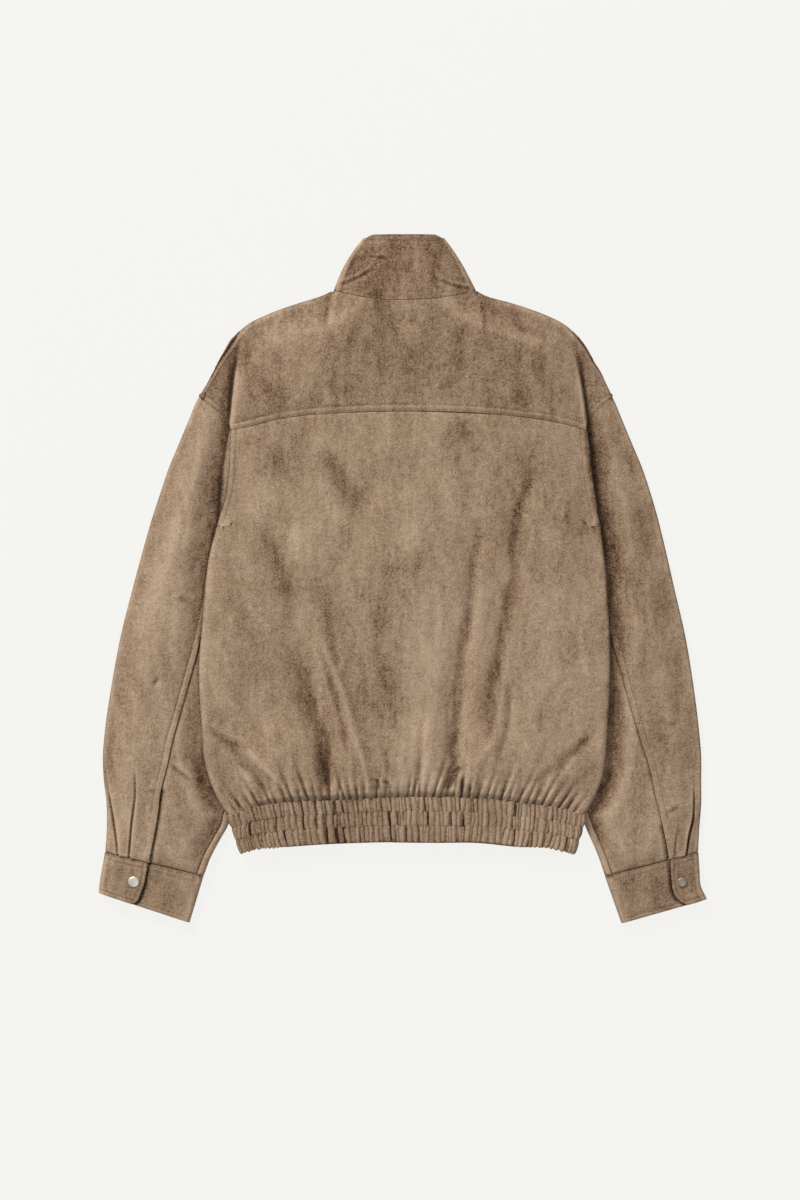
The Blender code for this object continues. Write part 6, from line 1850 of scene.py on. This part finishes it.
def stitch_points(path):
    """Corners of all stitches along a path of points: the spindle, turned to the path."""
    reach = measure(path)
    middle = np.arange(STITCH, reach[-1] - STITCH / 2.0, STITCH)
    ahead = sample(path, middle + 1.2) - sample(path, middle - 1.2)
    ahead = ahead / np.linalg.norm(ahead, axis=1, keepdims=True)
    beside = np.cross((0.0, 0.0, 1.0), ahead)
    beside = beside / np.linalg.norm(beside, axis=1, keepdims=True)
    over = np.cross(ahead, beside)
    centre = sample(path, middle) + 0.55 * THREAD_RADIUS * over
    spots = centre[:, None] + SPINDLE[:, :1] * ahead[:, None]
    round_it = SPINDLE[:, 1:2] * beside[:, None] + SPINDLE[:, 2:] * over[:, None]
    spots = spots + THREAD_RADIUS * round_it
    return spots.reshape(-1, 3)


def topstitch(name, paths):
    """One object with the stitches of several rows."""
    points = np.concatenate([stitch_points(path) for path in paths])
    count = len(points) // 10
    faces = [tuple(10 * k + i for i in face) for k in range(count) for face in SPINDLE_FACES]
    thing = mesh_object(name, points, faces)
    thing.data.materials.append(thread)
    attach(thing, "root")
    print(name, count, "stitches")
    return thing


def on_top(line, level):
    """The part of a line of points that lies above a level."""
    keep = np.flatnonzero(line[:, 2] > level)
    return line[keep[0]:keep[-1] + 1]


print("faces of a stitch:", len(SPINDLE_FACES))

# %% Rows of stitches
yoke_grid, back_grid = rows_kept["back_yoke"], rows_kept["back_panel"]
yoke_stitches = topstitch("yoke_topstitch", [on_top(yoke_grid[:, k], 9.0) for k in (-4, -10)])
back_stitches = topstitch("armhole_topstitch", [
    on_top(back_grid[3:, k][back_grid[3:, k, 1] > ARMHOLE_BASE + 2.0], 12.0) for k in (7, -8)])
for sleeve_side, word in ((-1, "left"), (1, "right")):
    line = rows_kept["sleeve_outer_" + word][:, 8]
    line = line[(line[:, 1] < 60.0) & (line[:, 1] > VENT_TOP[sleeve_side])]
    topstitch("sleeve_topstitch_" + word, [line])
for word in ("left", "right"):
    grid = rows_kept["cuff_" + word]
    topstitch("cuff_topstitch_" + word, [
        grid[3, 3:50], grid[8, 6:50], grid[8:38, 6], grid[37, 6:50],
        on_top(grid[3, -34:], 9.8), on_top(grid[8, -34:], 9.8), on_top(grid[37, -34:], 9.8)])
collar_row = rows_kept["collar"][COLLAR_STITCH_ROW]
collar_stitches = topstitch("collar_topstitch", [
    collar_row[COLLAR_FRONT + 2:COLLAR_FRONT - 1 + COLLAR_COLUMNS]])
band_rows = rows_kept["waistband"] - (0.0, 0.0, 0.5)
band_stitches = topstitch("waistband_topstitch", [band_rows[k, 30:738:2] for k in (10, 20)])

# %% [markdown]
# ## Floor, light and camera
# The jacket lies on white paper and is seen from straight above. A large soft light from beyond
# the collar rakes across the cloth, so that a fold is bright on its upper side and dark below,
# and an even sky fills the shadows.

# %% Floor, light and camera
VIEW_HEIGHT = 3.0
FIELD = 1.404
VIEW_CENTRE = (-0.0053, -0.0257)

floor = mesh_object("paper_floor", ((-9000, -9000, -0.4), (9000, -9000, -0.4), (9000, 9000, -0.4),
                                    (-9000, 9000, -0.4)), ((0, 1, 2, 3),))
floor.data.materials.append(paper)
del made["paper_floor"]
floor.visible_diffuse = False


# %% Light
def soft_light(name, place, aim, size, watts, colour):
    """Square area light at a place, turned to face a point."""
    lamp = bpy.data.lights.new(name, "AREA")
    lamp.shape, lamp.size, lamp.energy, lamp.color = "SQUARE", size, watts, colour
    thing = bpy.data.objects.new(name, lamp)
    thing.location = place
    thing.rotation_euler = (mathutils.Vector(aim) - mathutils.Vector(place)).to_track_quat(
        "-Z", "Y").to_euler()
    bpy.context.scene.collection.objects.link(thing)
    return thing


soft_light("window_light", (-2.5, 3.9, 2.7), (0.0, 0.0, 0.0), 1.3, 275.0, (1.0, 0.985, 0.96))
soft_light("fill_light", (0.7, -1.5, 2.6), (0.0, -0.15, 0.0), 2.0, 19.0, (0.97, 0.985, 1.0))
world = bpy.data.worlds.new("pale_room")
world.use_nodes = True
world.node_tree.nodes["Background"].inputs["Color"].default_value = (0.97, 0.985, 1.0, 1.0)
world.node_tree.nodes["Background"].inputs["Strength"].default_value = 0.34
bpy.context.scene.world = world

camera = bpy.data.objects.new("overhead_camera", bpy.data.cameras.new("overhead_camera"))
camera.location = (*VIEW_CENTRE, VIEW_HEIGHT + 0.012)
camera.data.sensor_width = 36.0
camera.data.lens = 36.0 * VIEW_HEIGHT / FIELD
camera.data.clip_end = 50.0
bpy.context.scene.collection.objects.link(camera)
bpy.context.scene.camera = camera
bpy.context.scene.view_settings.view_transform = "Standard"
bpy.context.scene.view_settings.look = "None"

# %% [markdown]
# ## What the cloth is
# A table gives six panels as the flat pieces that were cut: each one's width, its length and,
# where it isn't a rectangle, its area. All of it lies on the table or on the pieces below it.

# %% Sheets
SHEETS = (
    ("yoke", (0.50, 0.18), 0.068, ["front_cloth_left", "front_cloth_right"], [yoke_stitches]),
    ("back", (0.52, 0.48), 0.235, ["front_cloth_left", "front_cloth_right"], [back_stitches]),
    ("front_cloth_left", (0.27, 0.62), 0.135, ["paper_floor"], []),
    ("front_cloth_right", (0.27, 0.62), 0.135, ["paper_floor"], []),
    ("collar_band", (0.35, 0.078), None, ["yoke", "paper_floor"], [collar_stitches]),
    ("waistband_ruffled", (1.14, 0.049), None, ["front_cloth_left"], [band_stitches]))
print("cloth:", len(SHEETS), "pieces and the sleeves and cuffs")
for name, flat, area, below, sewn_on in SHEETS:
    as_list(below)
    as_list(sewn_on)
